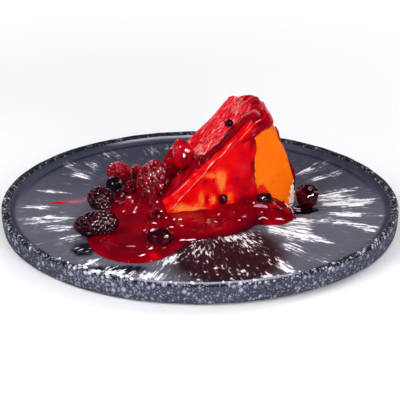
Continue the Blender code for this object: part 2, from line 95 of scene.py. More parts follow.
# ==== shapes ==================================================================================
def unit(vectors):
    """The same directions with length 1."""
    return vectors / np.linalg.norm(vectors, axis=-1, keepdims=True)


def waves(places, length, seed, count=10):
    """Uneven relief about -1 to 1: the mean of sine waves of one length in random directions."""
    draw = np.random.default_rng(seed)
    directions = unit(draw.normal(size=(count, places.shape[-1])))
    turns = math.tau / (length * draw.uniform(0.7, 1.5, count))
    phase = places @ (directions * turns[:, None]).T + draw.uniform(0.0, math.tau, count)
    return np.sin(phase).sum(-1) * 1.4 / math.sqrt(count)


def full_turn(count):
    """Angles all the way round, of which the last is the first again."""
    angles = np.linspace(0.0, math.tau, count)
    angles[-1] = 0.0
    return angles


def smooth_step(values, start, end):
    """0 up to the start and 1 from the end on, S-shaped between; the end may be the lower one."""
    share = np.clip((values - start) / (end - start), 0.0, 1.0)
    return share * share * (3.0 - 2.0 * share)


def mound(distance_a, reach_a, distance_b=0.0, reach_b=1.0):
    """A bell of height 1 over one or two distances, each with its own reach."""
    return np.exp(-((distance_a / reach_a) ** 2) - (distance_b / reach_b) ** 2)


def bells(first, second, rows):
    """A sum of bells, from rows of two places, one or two reaches (all in mm) and a weight."""
    total = 0.0
    for at_first, at_second, *reaches, weight in rows:
        reach_a, reach_b = reaches[0] * MM, reaches[-1] * MM
        gap_a, gap_b = first - at_first * MM, second - at_second * MM
        total = total + weight * mound(gap_a, reach_a, gap_b, reach_b)
    return total


def smooth_line(points, steps):
    """Points of a smooth curve through the given ones: a cubic between each two neighbours."""
    points = np.asarray(points, dtype=float)
    ends = (2.0 * points[:1] - points[1:2], points, 2.0 * points[-1:] - points[-2:-1])
    points = np.concatenate(ends)
    position = np.linspace(0.0, len(points) - 3.0, steps)
    index = np.minimum(position.astype(int), len(points) - 4)
    part = (position - index)[:, None]
    before, here, after, later = (points[index + shift] for shift in range(4))
    return 0.5 * (
        2.0 * here + (after - before) * part
        + (2.0 * before - 5.0 * here + 4.0 * after - later) * part ** 2
        + (3.0 * here - before - 3.0 * after + later) * part ** 3
    )


def near_line(first, second, points, reach):
    """A bell about a smooth line: 1 on it, fading with the distance to its nearest point."""
    line = smooth_line(points, 40) * MM
    gap = np.hypot(first[..., None] - line[:, 0], second[..., None] - line[:, 1]).min(-1)
    return mound(gap, reach * MM)


def with_marks(places, *marks):
    """A grid of points with its marks as further columns."""
    spread = [np.broadcast_to(mark, places.shape[:-1])[..., None] for mark in marks]
    return np.concatenate([places, *spread], -1)


def shell_grids(outer, inner, *marks):
    """The two faces of a closed sheet with its marks, and the four strips along its borders."""
    outer, inner = with_marks(outer, *marks), with_marks(inner, *marks)
    sides = (np.s_[0, :], np.s_[-1, :], np.s_[:, 0], np.s_[:, -1])
    return [outer, inner] + [np.stack((outer[side], inner[side])) for side in sides]


def write_mark(mesh, name, values):
    """Write a value on each vertex, for a material to read."""
    layer = mesh.attributes.new(name, "FLOAT", "POINT")
    layer.data.foreach_set("value", values.astype(np.float32))


def skin_mesh(name, grids, marks=()):
    """Weld grids of points into one mesh; their further columns are the named marks."""
    points = np.concatenate([grid.reshape(-1, 3 + len(marks)) for grid in grids])
    faces = []
    start = 0
    for grid in grids:
        rows, columns = grid.shape[:2]
        index = start + np.arange(rows * columns).reshape(rows, columns)
        corners = (index[:-1, :-1], index[:-1, 1:], index[1:, 1:], index[1:, :-1])
        faces.append(np.stack(corners, -1).reshape(-1, 4))
        start += rows * columns
    mesh = bpy.data.meshes.new(name)
    mesh.from_pydata(points[:, :3], (), np.concatenate(faces).tolist())
    for mark, values in zip(marks, points[:, 3:].T):
        write_mark(mesh, mark, values)
    shape = bmesh.new()
    shape.from_mesh(mesh)
    bmesh.ops.remove_doubles(shape, verts=shape.verts, dist=WELD)
    bmesh.ops.dissolve_degenerate(shape, edges=shape.edges, dist=WELD)
    bmesh.ops.recalc_face_normals(shape, faces=shape.faces)
    shape.to_mesh(mesh)
    shape.free()
    return mesh


def points_of(mesh, what="co"):
    """All vertex places, or their normals, as an array."""
    values = np.zeros(len(mesh.vertices) * 3, np.float32)
    mesh.vertices.foreach_get(what, values)
    return values.reshape(-1, 3).astype(float)


def show_object(name, data):
    """Add a mesh, a light or a camera to the scene under this name."""
    shown = bpy.data.objects.new(name, data)
    bpy.context.scene.collection.objects.link(shown)
    return shown


def add_piece(mesh, material, slot, nodes=(), sharp_angle=60.0):
    """Add a mesh as a piece that rides on the one body, in place of the named solids."""
    mesh.shade_smooth()
    mesh.set_sharp_from_angle(angle=math.radians(sharp_angle))
    mesh.materials.append(material)
    piece = show_object(mesh.name, mesh)
    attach(piece, "root")
    if nodes:
        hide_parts(*nodes)
    return piece


def build_piece(name, grids, marks, *rest):
    """Skin the grids and add the mesh as a piece."""
    return add_piece(skin_mesh(name, grids, marks), *rest)


# ==== shaders =================================================================================
class Shading:
    """A tree of shader nodes: each method adds nodes and returns the socket that they end in."""

    def __init__(self, tree):
        self.tree = tree

    def put(self, value, socket):
        """Link a value to a socket, or set it there; colours are given without their opacity."""
        if isinstance(value, bpy.types.NodeSocket):
            self.tree.links.new(value, socket)
        else:
            socket.default_value = (*value, 1.0) if socket.type == "RGBA" else value

    def node(self, kind, sockets=(), **settings):
        """Add a node, with its settings and with values or links on its sockets."""
        made = self.tree.nodes.new("ShaderNode" + kind)
        for key, value in settings.items():
            setattr(made, key, value)
        for key, value in dict(sockets).items():
            self.put(value, made.inputs[key])
        return made

    def group(self, tree, **sockets):
        """Place a group with its own values, and return its outputs."""
        named = {key.replace("_", " "): value for key, value in sockets.items()}
        return self.node("Group", named, node_tree=tree).outputs

    def place(self):
        """Coordinates of the piece, in metres."""
        return self.node("TexCoord").outputs["Object"]

    def mark(self, name):
        """The value written on the vertices under this name."""
        return self.node("Attribute", attribute_name=name).outputs["Fac"]

    def math(self, operation, *values, clamp=False):
        """The result of a math node."""
        made = self.node("Math", enumerate(values), operation=operation, use_clamp=clamp)
        return made.outputs[0]

    def times(self, first, second):
        """The product of two numbers."""
        return self.math("MULTIPLY", first, second)

    def total(self, first, *parts, clamp=False):
        """A number plus further ones, each times its weight."""
        for value, weight in parts:
            first = self.math("MULTIPLY_ADD", value, weight, first, clamp=clamp)
        return first

    def vector(self, operation, *values):
        """The result of a vector math node."""
        made = self.node("VectorMath", enumerate(values), operation=operation)
        return made.outputs["Value" if operation == "LENGTH" else "Vector"]

    def rise(self, value, low, high, first=0.0, last=1.0):
        """A smooth change from first to last while the value goes from low to high."""
        sockets = {
            "Value": value, "From Min": low, "From Max": high, "To Min": first, "To Max": last,
        }
        return self.node("MapRange", sockets, interpolation_type="SMOOTHSTEP").outputs[0]

    def blend(self, share, first, second):
        """A number between two numbers."""
        sockets = {0: share, 2: first, 3: second}
        return self.node("Mix", sockets, data_type="FLOAT").outputs[0]

    def mix(self, share, first, second):
        """A colour between two colours."""
        sockets = {0: share, 6: first, 7: second}
        return self.node("Mix", sockets, data_type="RGBA").outputs[2]

    def paint(self, shown, *coats):
        """A colour with further colours laid over it, each by its share."""
        for share, coat in coats:
            shown = self.mix(share, shown, coat)
        return shown

    def ramp(self, value, stops):
        """A colour read from a scale of (position, colour) stops."""
        made = self.node("ValToRGB", {0: value})
        scale = made.color_ramp
        scale.elements[0].position, scale.elements[1].position = stops[0][0], stops[-1][0]
        for position, _ in stops[1:-1]:
            scale.elements.new(position)
        for element, (_, shade) in zip(scale.elements, stops):
            element.color = (*shade, 1.0)
        return made.outputs[0]

    def noise(self, scale, detail=3.0, roughness=0.55, distortion=0.0, vector=None):
        """An even noise of about 0 to 1, over the piece itself unless a vector is given."""
        sockets = {
            "Vector": self.place() if vector is None else vector, "Scale": scale,
            "Detail": detail, "Roughness": roughness, "Distortion": distortion,
        }
        return self.node("TexNoise", sockets).outputs[0]


def make_group(name, inputs, outputs):
    """Start a group with named inputs (kind, name, value) and outputs (kind, name)."""
    tree = bpy.data.node_groups.new(name, "ShaderNodeTree")
    for kind, label, value in inputs:
        socket = tree.interface.new_socket(label, in_out="INPUT", socket_type="NodeSocket" + kind)
        socket.default_value = (*value, 1.0) if kind == "Color" else value
    for kind, label in outputs:
        tree.interface.new_socket(label, in_out="OUTPUT", socket_type="NodeSocket" + kind)
    given = tree.nodes.new("NodeGroupInput").outputs
    return Shading(tree), given, tree.nodes.new("NodeGroupOutput").inputs


def surface_relief_group():
    """Fine unevenness: coarse dents and fine grain, each with its own weight."""
    group, given, out = make_group(
        "surface_relief",
        (("Float", "Dent Scale", 80.0), ("Float", "Dents", 0.5),
         ("Float", "Grain Scale", 900.0), ("Float", "Grain", 0.5)),
        (("Float", "Height"),),
    )
    dents = group.times(group.noise(given["Dent Scale"], 2.0), given["Dents"])
    grain = group.noise(given["Grain Scale"], 3.0)
    group.put(group.total(dents, (grain, given["Grain"])), out["Height"])
    return group.tree


def sauce_tint_group():
    """Colour of the sauce by its depth: orange where thinnest, bright red, then deep red."""
    group, given, out = make_group(
        "sauce_tint",
        (("Float", "Depth", 0.5), ("Float", "Mottle", 0.15), ("Float", "Mottle Scale", 220.0)),
        (("Color", "Color"), ("Float", "Roughness")),
    )
    mottle = group.math("SUBTRACT", group.noise(given["Mottle Scale"]), 0.5)
    depth = group.total(given["Depth"], (mottle, given["Mottle"]), clamp=True)
    tint = group.ramp(depth, (
        (0.0, (1.0, 0.31, 0.065)), (0.10, (1.0, 0.17, 0.025)), (0.20, (1.0, 0.045, 0.008)),
        (0.34, (0.94, 0.002, 0.004)), (0.52, (0.70, 0.0, 0.006)), (0.68, (0.38, 0.0, 0.006)),
        (0.84, (0.20, 0.0, 0.005)), (1.0, (0.075, 0.0, 0.004)),
    ))
    group.put(tint, out["Color"])
    group.put(group.rise(depth, 0.0, 0.5, 0.30, 0.09), out["Roughness"])
    return group.tree


def berry_skin_group():
    """Fruit skin: painted shade in the clefts, lighter by a mark on each drupelet, with faint
    mottling.
    """
    group, given, out = make_group(
        "berry_skin",
        (("Color", "Body", (0.3, 0.0, 0.01)), ("Color", "Light", (0.6, 0.02, 0.04)),
         ("Color", "Deep", (0.05, 0.0, 0.005)), ("Float", "Mottle Scale", 300.0),
         ("Float", "Tone", 0.5), ("Float", "Cleft", 0.0)),
        (("Color", "Color"), ("Float", "Roughness")),
    )
    mottle = group.noise(given["Mottle Scale"], 2.0)
    uneven = group.math("SUBTRACT", mottle, 0.35)
    share = group.total(group.times(given["Tone"], 0.6), (uneven, 0.9), clamp=True)
    skin = group.mix(share, given["Body"], given["Light"])
    # painted shade: the skin darkens towards the shade colour in the clefts
    skin = group.mix(group.rise(given["Cleft"], 0.25, 0.9), skin, given["Deep"])
    group.put(skin, out["Color"])
    group.put(group.rise(mottle, 0.2, 0.8, 0.10, 0.24), out["Roughness"])
    return group.tree


RELIEF = surface_relief_group()
SAUCE_TINT = sauce_tint_group()
BERRY_SKIN = berry_skin_group()


class Look(Shading):
    """A material and its one shader."""

    def __init__(self, name, **sockets):
        self.material = bpy.data.materials.new(name)
        self.material.use_nodes = True
        super().__init__(self.material.node_tree)
        self.shader = self.tree.nodes["Principled BSDF"]
        self.show(**sockets)

    def show(self, **sockets):
        """Set the shader's sockets, or link them."""
        for key, value in sockets.items():
            self.put(value, self.shader.inputs[key.replace("_", " ")])

    def bump(self, distance, dents, grain, *parts):
        """Bend the normal by the shared relief, (scale, weight) each, and by further heights."""
        relief = self.group(
            RELIEF, Dent_Scale=dents[0], Dents=dents[1], Grain_Scale=grain[0], Grain=grain[1],
        )
        sockets = {"Height": self.total(relief["Height"], *parts), "Distance": distance}
        self.show(Normal=self.node("Bump", sockets | {"Strength": 1.0}).outputs[0])


def brush_marks(look):
    """How white the brushed flecks are, the haze round them and the run of the strokes.

    The noise runs outwards from the brush's centre: its coordinates change fast round the centre
    and slowly away from it.  A fleck shows where the noise exceeds what the marks ask for.
    """
    mark, noise, rise = look.mark, look.noise, look.rise
    around = look.vector("SUBTRACT", look.place(), (*BRUSH_CENTRE, 0.0))
    flat = look.vector("MULTIPLY", around, (1.0, 1.0, 0.0))
    reach = look.vector("LENGTH", flat)
    outward = look.vector("NORMALIZE", flat)
    ways = []
    for spread in (1.35, 4.2):
        ring = look.node("CombineXYZ", {"Z": look.times(reach, spread)}).outputs[0]
        ways.append(look.vector("ADD", outward, ring))
    long_way, short_way = ways
    strokes = noise(44.0, 3.0, 0.62, 0.25, long_way)
    bristles = noise(105.0, 2.0, 0.6, vector=long_way)
    blobs = noise(300.0, 2.0, 0.6)
    breaks = noise(95.0, 3.0, 0.65)
    bristle = look.total(strokes, (breaks, 0.45), (bristles, 0.32), (blobs, 0.26))
    needed = rise(mark("flecks"), 0.0, 1.0, 1.29, 0.945)
    dabs = noise(37.0, 3.0, 0.6, 0.3, short_way)
    dabs_needed = rise(mark("flecks"), 0.0, 1.1, 0.685, 0.465)
    excess = look.blend(
        mark("reflection_shade"), look.math("SUBTRACT", bristle, needed),
        look.math("SUBTRACT", dabs, dabs_needed),
    )
    soft = rise(excess, -0.02, 0.16, 0.0, 0.9)
    white = look.blend(mark("far_side"), rise(excess, -0.012, 0.105), soft)
    return white, rise(excess, -0.16, 0.05, 0.0, 0.34), strokes


def glaze_dots(look):
    """Dots of mixed sizes, the largest of three scales at each place."""
    dots, place = 0.0, look.place()
    power = look.total(3.0, (look.mark("big_dots"), -1.9))
    for scale, weight in ((330.0, 0.72), (560.0, 0.55), (1000.0, 0.45)):
        cells = look.node("TexVoronoi", {"Vector": place, "Scale": scale})
        draw = look.node("SeparateColor", {0: cells.outputs["Color"]}).outputs[0]
        radius = look.times(look.math("POWER", draw, power), 0.50)
        edge = look.math("SUBTRACT", radius, cells.outputs["Distance"])
        dots = look.math("MAXIMUM", dots, look.rise(edge, -0.26, 0.22, 0.0, weight))
    return dots


def stoneware_material():
    """Matte grey-violet glaze with white brushed flecks, a black rim and a speckled outer wall."""
    look = Look("stoneware_glaze", Specular_IOR_Level=0.06)
    mark, rise, mix, paint = look.mark, look.rise, look.mix, look.paint
    reflection_shade, far_side = mark("reflection_shade"), mark("far_side")
    white, haze, strokes = brush_marks(look)
    cloud = look.noise(28.0, 4.0, 0.6)
    grey = mix(cloud, (0.092, 0.086, 0.120), (0.145, 0.138, 0.182))
    # painted reflection and shade of the cake: dark red over the floor in front of it
    reflection_tint = mix(haze, (0.018, 0.0055, 0.0085), (0.10, 0.055, 0.068))
    # painted shadow beside the front bramble, with dark marks elsewhere, broken up by the strokes
    shade_and_black = look.total(mark("black"), (strokes, 1.6))
    fleck = mix(reflection_shade, (1.0, 0.98, 1.0), (0.98, 0.86, 0.90))
    floor = paint(
        grey, (far_side, (0.050, 0.050, 0.078)), (haze, (0.36, 0.35, 0.42)), (reflection_shade, reflection_tint),
        (rise(shade_and_black, 1.15, 1.65), (0.007, 0.007, 0.014)), (mark("smear"), (0.52, 0.14, 0.19)),
        # painted shade at the foot of the inner wall
        (white, fleck), (mark("corner_shade"), (0.014, 0.016, 0.032)),
    )
    dots = glaze_dots(look)
    wall = paint(
        mix(cloud, (0.026, 0.028, 0.045), (0.072, 0.074, 0.108)),
        (dots, (0.50, 0.52, 0.68)), (mark("low_edge"), (0.012, 0.010, 0.012)),
    )
    fewer = look.times(dots, look.total(1.0, (far_side, -0.75)))
    # the rim's front has a painted highlight band
    rim = paint(
        (0.008, 0.009, 0.018), (mark("rim_highlight"), (0.30, 0.32, 0.43)), (fewer, (0.80, 0.82, 0.95)),
    )
    inner = mix(cloud, (0.016, 0.018, 0.034), (0.080, 0.085, 0.125))
    inner = mix(mark("sheen"), inner, (0.68, 0.69, 0.84))
    shown = paint(
        floor, (mark("inner_wall"), inner), (mark("rim"), rim), (mark("outer_wall"), wall),
    )
    look.show(Base_Color=shown, Roughness=rise(white, 0.0, 1.0, 0.42, 0.60))
    look.bump(0.00016, (60.0, 0.6), (1400.0, 0.35), (white, 0.5))
    return look.material


def cake_material():
    """Baked custard: smooth orange skin, pale crumb where it is torn, and a dark burnt top."""
    look = Look(
        "baked_custard", Subsurface_Weight=0.08, Subsurface_Scale=0.003,
        Subsurface_Radius=(1.0, 0.35, 0.12), Specular_IOR_Level=0.02,
    )
    mark, noise, rise, mix, paint = look.mark, look.noise, look.rise, look.mix, look.paint
    golden = mix(noise(45.0, 3.0, 0.5), (1.0, 0.150, 0.0), (1.0, 0.180, 0.001))
    pores = rise(noise(620.0, 2.0), 0.66, 0.74)
    specks = rise(noise(270.0, 1.0), 0.69, 0.76, 0.0, 0.55)
    crumb = noise(420.0, 4.0, 0.7)
    cream = mix(crumb, (1.0, 0.64, 0.44), (1.0, 0.93, 0.88))
    char = noise(70.0, 5.0, 0.65, 0.6)
    burnt = look.ramp(char, (
        (0.32, (0.010, 0.0035, 0.0025)), (0.48, (0.040, 0.012, 0.005)),
        (0.60, (0.14, 0.042, 0.010)), (0.74, (0.38, 0.13, 0.025)),
    ))
    scorch = look.total(mark("burnt"), (char, 0.9))
    torn = mark("cream")
    shown = paint(
        golden, (mark("paler"), (1.0, 0.20, 0.008)),
        (look.times(pores, 0.45), (0.62, 0.09, 0.004)), (specks, (0.50, 0.060, 0.003)),
        (mark("toasted"), (0.60, 0.085, 0.004)), (mark("stain"), (0.85, 0.02, 0.004)),
        (torn, cream), (rise(scorch, 0.78, 1.08), burnt),
    )
    # painted glow: the skin gives off a little light in its own colour, the torn crumb more
    look.show(
        Base_Color=shown, Roughness=rise(torn, 0.0, 1.0, 0.50, 0.8), Emission_Color=shown,
        Emission_Strength=rise(torn, 0.0, 1.0, 0.06, 0.26),
    )
    look.bump(0.00012, (150.0, 0.4), (1500.0, 0.25), (look.times(crumb, torn), 1.2), (pores, -0.6))
    return look.material


def sauce_material(name, mottle, dents, coat):
    """Wet berry sauce, coloured by the mark depth."""
    look = Look(
        name, Coat_Weight=coat, Coat_Roughness=0.03, Coat_IOR=1.45, Specular_IOR_Level=0.04,
    )
    tint = look.group(SAUCE_TINT, Depth=look.mark("depth"), Mottle=mottle)
    look.show(Base_Color=tint["Color"], Roughness=tint["Roughness"])
    look.bump(0.00025, (110.0, dents), (700.0, 0.10))
    return look.material


def bead_material(name, dim, bright):
    """Thin bright edges and pips of the sauce, pale in patches along them: painted highlights."""
    look = Look(name, Roughness=0.2, Coat_Weight=1.0, Coat_Roughness=0.05)
    along = look.noise(170.0, 2.0)
    look.show(Base_Color=look.mix(look.rise(along, 0.38, 0.58), dim, bright))
    return look.material


def blanket_material():
    """Sauce on the upper cut: clear and deep in front, thin and streaked behind, with painted pink
    sheen.
    """
    look = Look("sauce_on_cut", Coat_Roughness=0.04, Coat_IOR=1.45, Specular_IOR_Level=0.04)
    mark = look.mark
    tint = look.group(SAUCE_TINT, Depth=mark("depth"), Mottle=0.22)
    up_cut, back = look.times(mark("up_cut"), 17.0), look.times(mark("back"), 75.0)
    along = look.node("CombineXYZ", {"X": up_cut, "Y": back}).outputs[0]
    streaks = look.noise(1.0, 3.0, 0.68, 1.2, along)
    grit = look.noise(480.0, 3.0, 0.6)
    patches = look.noise(80.0, 2.0)
    streaky = mark("streaky")
    lit = look.total(streaks, (grit, 0.34), (patches, 0.37), (mark("sheen_boost"), 0.10))
    # red where the streaks are low; their pale pink and whitish tops are painted sheen of the wet
    # sauce
    pink = look.ramp(lit, (
        (0.65, (0.34, 0.0, 0.003)), (0.81, (0.84, 0.001, 0.010)), (0.915, (1.0, 0.016, 0.034)),
        (0.97, (1.0, 0.15, 0.16)), (1.0, (1.0, 0.46, 0.44)),
    ))
    clear = look.math("SUBTRACT", 1.0, mark("dull"), clamp=True)
    # pale lines take a painted highlight colour
    look.show(
        Base_Color=look.paint(
            tint["Color"], (streaky, pink), (mark("ridge_highlight"), (0.55, 0.17, 0.19)),
        ),
        Roughness=look.blend(streaky, tint["Roughness"], 0.42),
        Coat_Weight=look.times(look.rise(streaky, 0.0, 1.0, 0.5, 0.25), clear),
    )
    look.bump(0.0003, (110.0, 0.5), (700.0, 0.15), (look.times(lit, streaky), 3.0))
    return look.material


def fruit_material(name, body, light, deep, mottle_scale, coat):
    """Fruit skin that reads the marks tone and cleft."""
    look = Look(
        name, Coat_Weight=coat, Coat_Roughness=0.05, Coat_IOR=1.45, Specular_IOR_Level=0.03,
    )
    skin = look.group(
        BERRY_SKIN, Body=body, Light=light, Deep=deep, Mottle_Scale=mottle_scale,
        Tone=look.mark("tone"), Cleft=look.mark("cleft"),
    )
    look.show(Base_Color=skin["Color"], Roughness=skin["Roughness"])
    look.bump(0.0001, (260.0, 0.4), (1500.0, 0.05))
    return look.material


SAUCE = sauce_material("sauce_deep", 0.04, 0.06, 0.38)
# small shiny things: a dim and a bright colour
BEADS = {name: bead_material(name, dim, bright) for name, dim, bright in (
    ("highlight_bead_glaze", (0.92, 0.03, 0.03), (1.0, 0.62, 0.55)),
    ("pip_glint_skin", (1.0, 0.50, 0.46), (1.0, 0.93, 0.90)),
    ("painted_glint", (0.90, 0.22, 0.34), (0.96, 0.84, 1.0)),
    ("scrap_sheen_skin", (0.30, 0.03, 0.05), (0.52, 0.20, 0.25)),
    # specks on the rim: partly white glaze, partly painted glints
    ("speck_glint", (0.78, 0.82, 1.0), (1.0, 0.98, 1.0)),
    ("stem_skin", (0.010, 0.016, 0.006), (0.030, 0.050, 0.015)),
)}
# skins of the fruits: body, light and cleft shade colour, scale of the mottling and weight of the
# coat
FRUITS = {name: fruit_material(name + "_skin", *values) for name, *values in (
    ("bramble", (0.012, 0.0, 0.002), (0.062, 0.001, 0.007), (0.002, 0.0, 0.001), 300.0, 0.55),
    ("raspberry", (0.21, 0.0, 0.005), (0.56, 0.008, 0.022), (0.12, 0.0, 0.003), 300.0, 0.9),
    ("ripe_raspberry", (0.14, 0.0, 0.003), (0.42, 0.002, 0.012), (0.075, 0.0, 0.002), 300.0, 0.9),
    ("dark_berry", (0.006, 0.0, 0.002), (0.075, 0.0, 0.005), (0.003, 0.0, 0.001), 160.0, 0.45),
    ("black_berry", (0.003, 0.001, 0.003), (0.010, 0.002, 0.007), (0.002, 0.0, 0.001), 160.0, 0.7),
    ("steeped_berry", (0.045, 0.0, 0.002), (0.19, 0.0, 0.005), (0.020, 0.0, 0.001), 200.0, 0.3),
    ("sauce_coated", (0.21, 0.0, 0.005), (0.62, 0.001, 0.010), (0.10, 0.0, 0.003), 180.0, 0.35),
    ("currant", (0.20, 0.0, 0.005), (0.50, 0.004, 0.010), (0.05, 0.0, 0.002), 200.0, 0.7),
)}


# ==== plate ===================================================================================
def plate_outline():
    """Half section: radius, height and zone (0 floor, 1 inner wall, 2 rim, 3 outside)."""
    turn = np.linspace(0.0, math.pi, 15)
    rim_r = PLATE_RADIUS - RIM_WIDTH / 2 - RIM_WIDTH / 2 * np.cos(turn)
    rim_z = PLATE_HEIGHT - RIM_ROUND + RIM_ROUND * np.sin(turn)
    floor_r = np.linspace(0.0, FLOOR_FLAT, 60)
    bend = np.linspace(0.0, math.pi / 2, 10)[1:]
    fall = np.linspace(0.0, 1.0, 14)[1:]
    inside = FOOT_RADIUS - FOOT_WIDTH
    foot = np.array((
        (FOOT_RADIUS + 0.0008, 0.0003), (FOOT_RADIUS, 0.0), (inside, 0.0),
        (inside - 0.0005, 0.0003), (inside - 0.003, FOOT_RECESS - 0.0003),
        (inside - 0.0036, FOOT_RECESS), (0.0, FOOT_RECESS),
    ))
    parts = (
        (floor_r, 0 * floor_r + FLOOR_Z),
        (FLOOR_FLAT + BEND_REACH * np.sin(bend), FLOOR_Z + BEND_RISE * (1.0 - np.cos(bend))),
        (rim_r, rim_z),
        (PLATE_RADIUS - WALL_TAPER * fall ** 3, rim_z[-1] - (rim_z[-1] - WALL_LOW) * fall),
        foot.T,
    )
    radius, height = np.concatenate(parts, axis=1)
    return radius, height, np.repeat((0, 1, 2, 3, 3), [len(part[0]) for part in parts])


# clusters of brushed flecks on the floor: x, y, reach outwards, reach sideways and weight
FLECK_CLUSTERS = (
    (63, -52, 13, 8, 1.25), (60, -72, 11, 5, 0.85), (51, -97, 14, 5, 1.15), (80, -60, 14, 4, 0.45),
    (68, -33, 10, 9, 1), (50, -40, 7, 9, 0.65), (101, 4, 17, 9, 1.2), (88, 14, 14, 5, 0.7),
    (103, 26, 12, 4, 0.6), (101, -18, 15, 5, 0.85), (104, -36, 18, 3.5, 0.8), (112, -44, 9, 4, 0.7),
    (88, -28, 12, 4, 0.7), (-76, -74, 9, 9, 0.42), (23, -53, 6, 17, 0.75), (31, -64, 12, 10, 0.7),
    (0, -78, 14, 12, 0.6), (27, -107, 7, 6, 0.95), (14, -100, 8, 6, 0.55), (-5, -112, 9, 12, 0.45),
    (-19, -90, 9, 7, 0.9), (-55, -106, 10, 9, 0.58), (-40, -112, 9, 12, 0.55),
    (-66, -92, 9, 7, 0.62), (-28, -114, 9, 9, 0.55), (-110, -5, 13, 4, 0.8),
    (-103, -26, 17, 6, 1.15), (-95, -42, 13, 6, 0.9), (-84, -56, 12, 5, 0.7), (-86, 54, 11, 5, 0.9),
    (-96, 74, 10, 5, 0.6), (-80, 74, 10, 5, 0.6), (-104, 22, 12, 4, 0.45), (78, 62, 15, 4, 0.9),
    (106, 64, 14, 5, 0.6), (97, 84, 12, 5, 0.5), (85, 48, 12, 4, 0.7), (-30, 108, 10, 14, 0.25),
    (42, -112, 6, 6, 0.8), (78, -92, 9, 5, 0.4), (-70, 96, 10, 8, 0.35),
)
BARE_FLECKS = 0.205                # their weight on the rest of the floor
# painted reflection and shade of the cake, dark patches and the pink smear on the floor: x, y,
# reaches and weight
REFLECTION_SHADE_PATCH = ((17, -82, 37, 48, 1.7),)
# the first of the black patches is painted shadow beside the front bramble; the others are dark
# marks
SHADE_AND_BLACK_PATCHES = ((-74, -74, 10, 15, 1), (-50, -104, 26, 10, 0.9), (-107.7, 18.3, 1.8, 0.8, 1))
PINK_SMEAR = ((-86.5, 4.5, 5.5, 2.6, 1), (-78, 10, 4, 1.8, 0.8))


def fleck_density(x, y):
    """How thickly the white brush marks lie: a sum of bells, long in the direction outwards."""
    density = BARE_FLECKS
    for at_x, at_y, outward, sideways, weight in FLECK_CLUSTERS:
        middle = np.array((at_x, at_y)) * MM
        out = unit(middle - BRUSH_CENTRE)
        run = (x - middle[0]) * out[0] + (y - middle[1]) * out[1]
        side = -(x - middle[0]) * out[1] + (y - middle[1]) * out[0]
        density = density + weight * mound(run, outward * MM, side, sideways * MM)
    return np.clip(density, 0.0, 1.3)


def turn_away(angle, middle):
    """Degrees between an angle and a middle one, round the plate."""
    return np.degrees(np.abs((angle - math.radians(middle) + math.pi) % math.tau - math.pi))


def build_plate():
    """The outline turned round the vertical axis, a little uneven like a thrown plate."""
    radius, height, zone = plate_outline()
    turn = full_turn(PLATE_TURNS)
    ring = np.broadcast_to(radius, (len(turn), len(radius)))
    x = ring * np.cos(turn)[:, None]
    y = ring * np.sin(turn)[:, None]
    z = np.broadcast_to(height, x.shape)
    angle = np.broadcast_to(turn[:, None], x.shape)
    places = np.stack((x, y, z), -1)
    uneven = np.abs(waves(places, 0.045, 3)) * UNEVEN * smooth_step(ring, 0.120, 0.130)
    places[..., :2] *= (1.0 - uneven / PLATE_RADIUS)[..., None]
    places[..., 2] -= uneven * smooth_step(z, FLOOR_Z, PLATE_HEIGHT)
    # painted highlight: a paler band along the rim's front
    rim_highlight = smooth_step(turn_away(angle, -86.0), 26.0, 18.0)
    sheen = smooth_step(turn_away(angle, 100.0), 26.0, 12.0)
    marks = {
        "flecks": fleck_density(x, y),
        # painted reflection and shade of the cake on the floor in front of it
        "reflection_shade": smooth_step(bells(x, y, REFLECTION_SHADE_PATCH), 0.35, 0.9),
        "black": smooth_step(bells(x, y, SHADE_AND_BLACK_PATCHES), 0.15, 0.9),
        "inner_wall": smooth_step(ring, 0.1250, 0.1268) * (zone < 2),
        "rim": zone == 2,
        "outer_wall": zone == 3,
        "rim_highlight": rim_highlight * smooth_step(ring, 0.1344, 0.1334),
        "big_dots": 0.85 * smooth_step(turn_away(angle, -116.0), 14.0, 8.0),
        "sheen": sheen * smooth_step(z, 0.0104, 0.0124),
        "low_edge": smooth_step(z, 0.0016, 0.0008) * (zone == 3),
        "far_side": smooth_step(y, -0.03, 0.10),
        "smear": bells(x, y, PINK_SMEAR),
        # painted shade in the corner where the floor meets the inner wall, at the back
        "corner_shade": 0.9 * mound(ring - 0.1246, 0.0022) * smooth_step(y, -0.01, 0.07),
    }
    grid = with_marks(places, *marks.values())
    glaze = stoneware_material()
    return build_piece(
        "stoneware_plate", [grid], tuple(marks), glaze, "stoneware", ("plate",), 50.0,
    )


# ==== slice ===================================================================================
def on_plate(local):
    """Turn the slice's own frame (across, back, up) into the object's frame."""
    across, back, up = local[..., 0], local[..., 1], local[..., 2]
    x = SEAT[0] + across * SEAT_COS - back * SEAT_SIN
    y = SEAT[1] + across * SEAT_SIN + back * SEAT_COS
    return np.stack((x, y, FLOOR_Z + GAP + up), -1)


def turned(local):
    """Turn a direction of the slice's own frame into the object's frame."""
    return on_plate(local) - on_plate(np.zeros(3))


FLAT_STEPS = 59                    # steps of the path over the base, and over the baked top


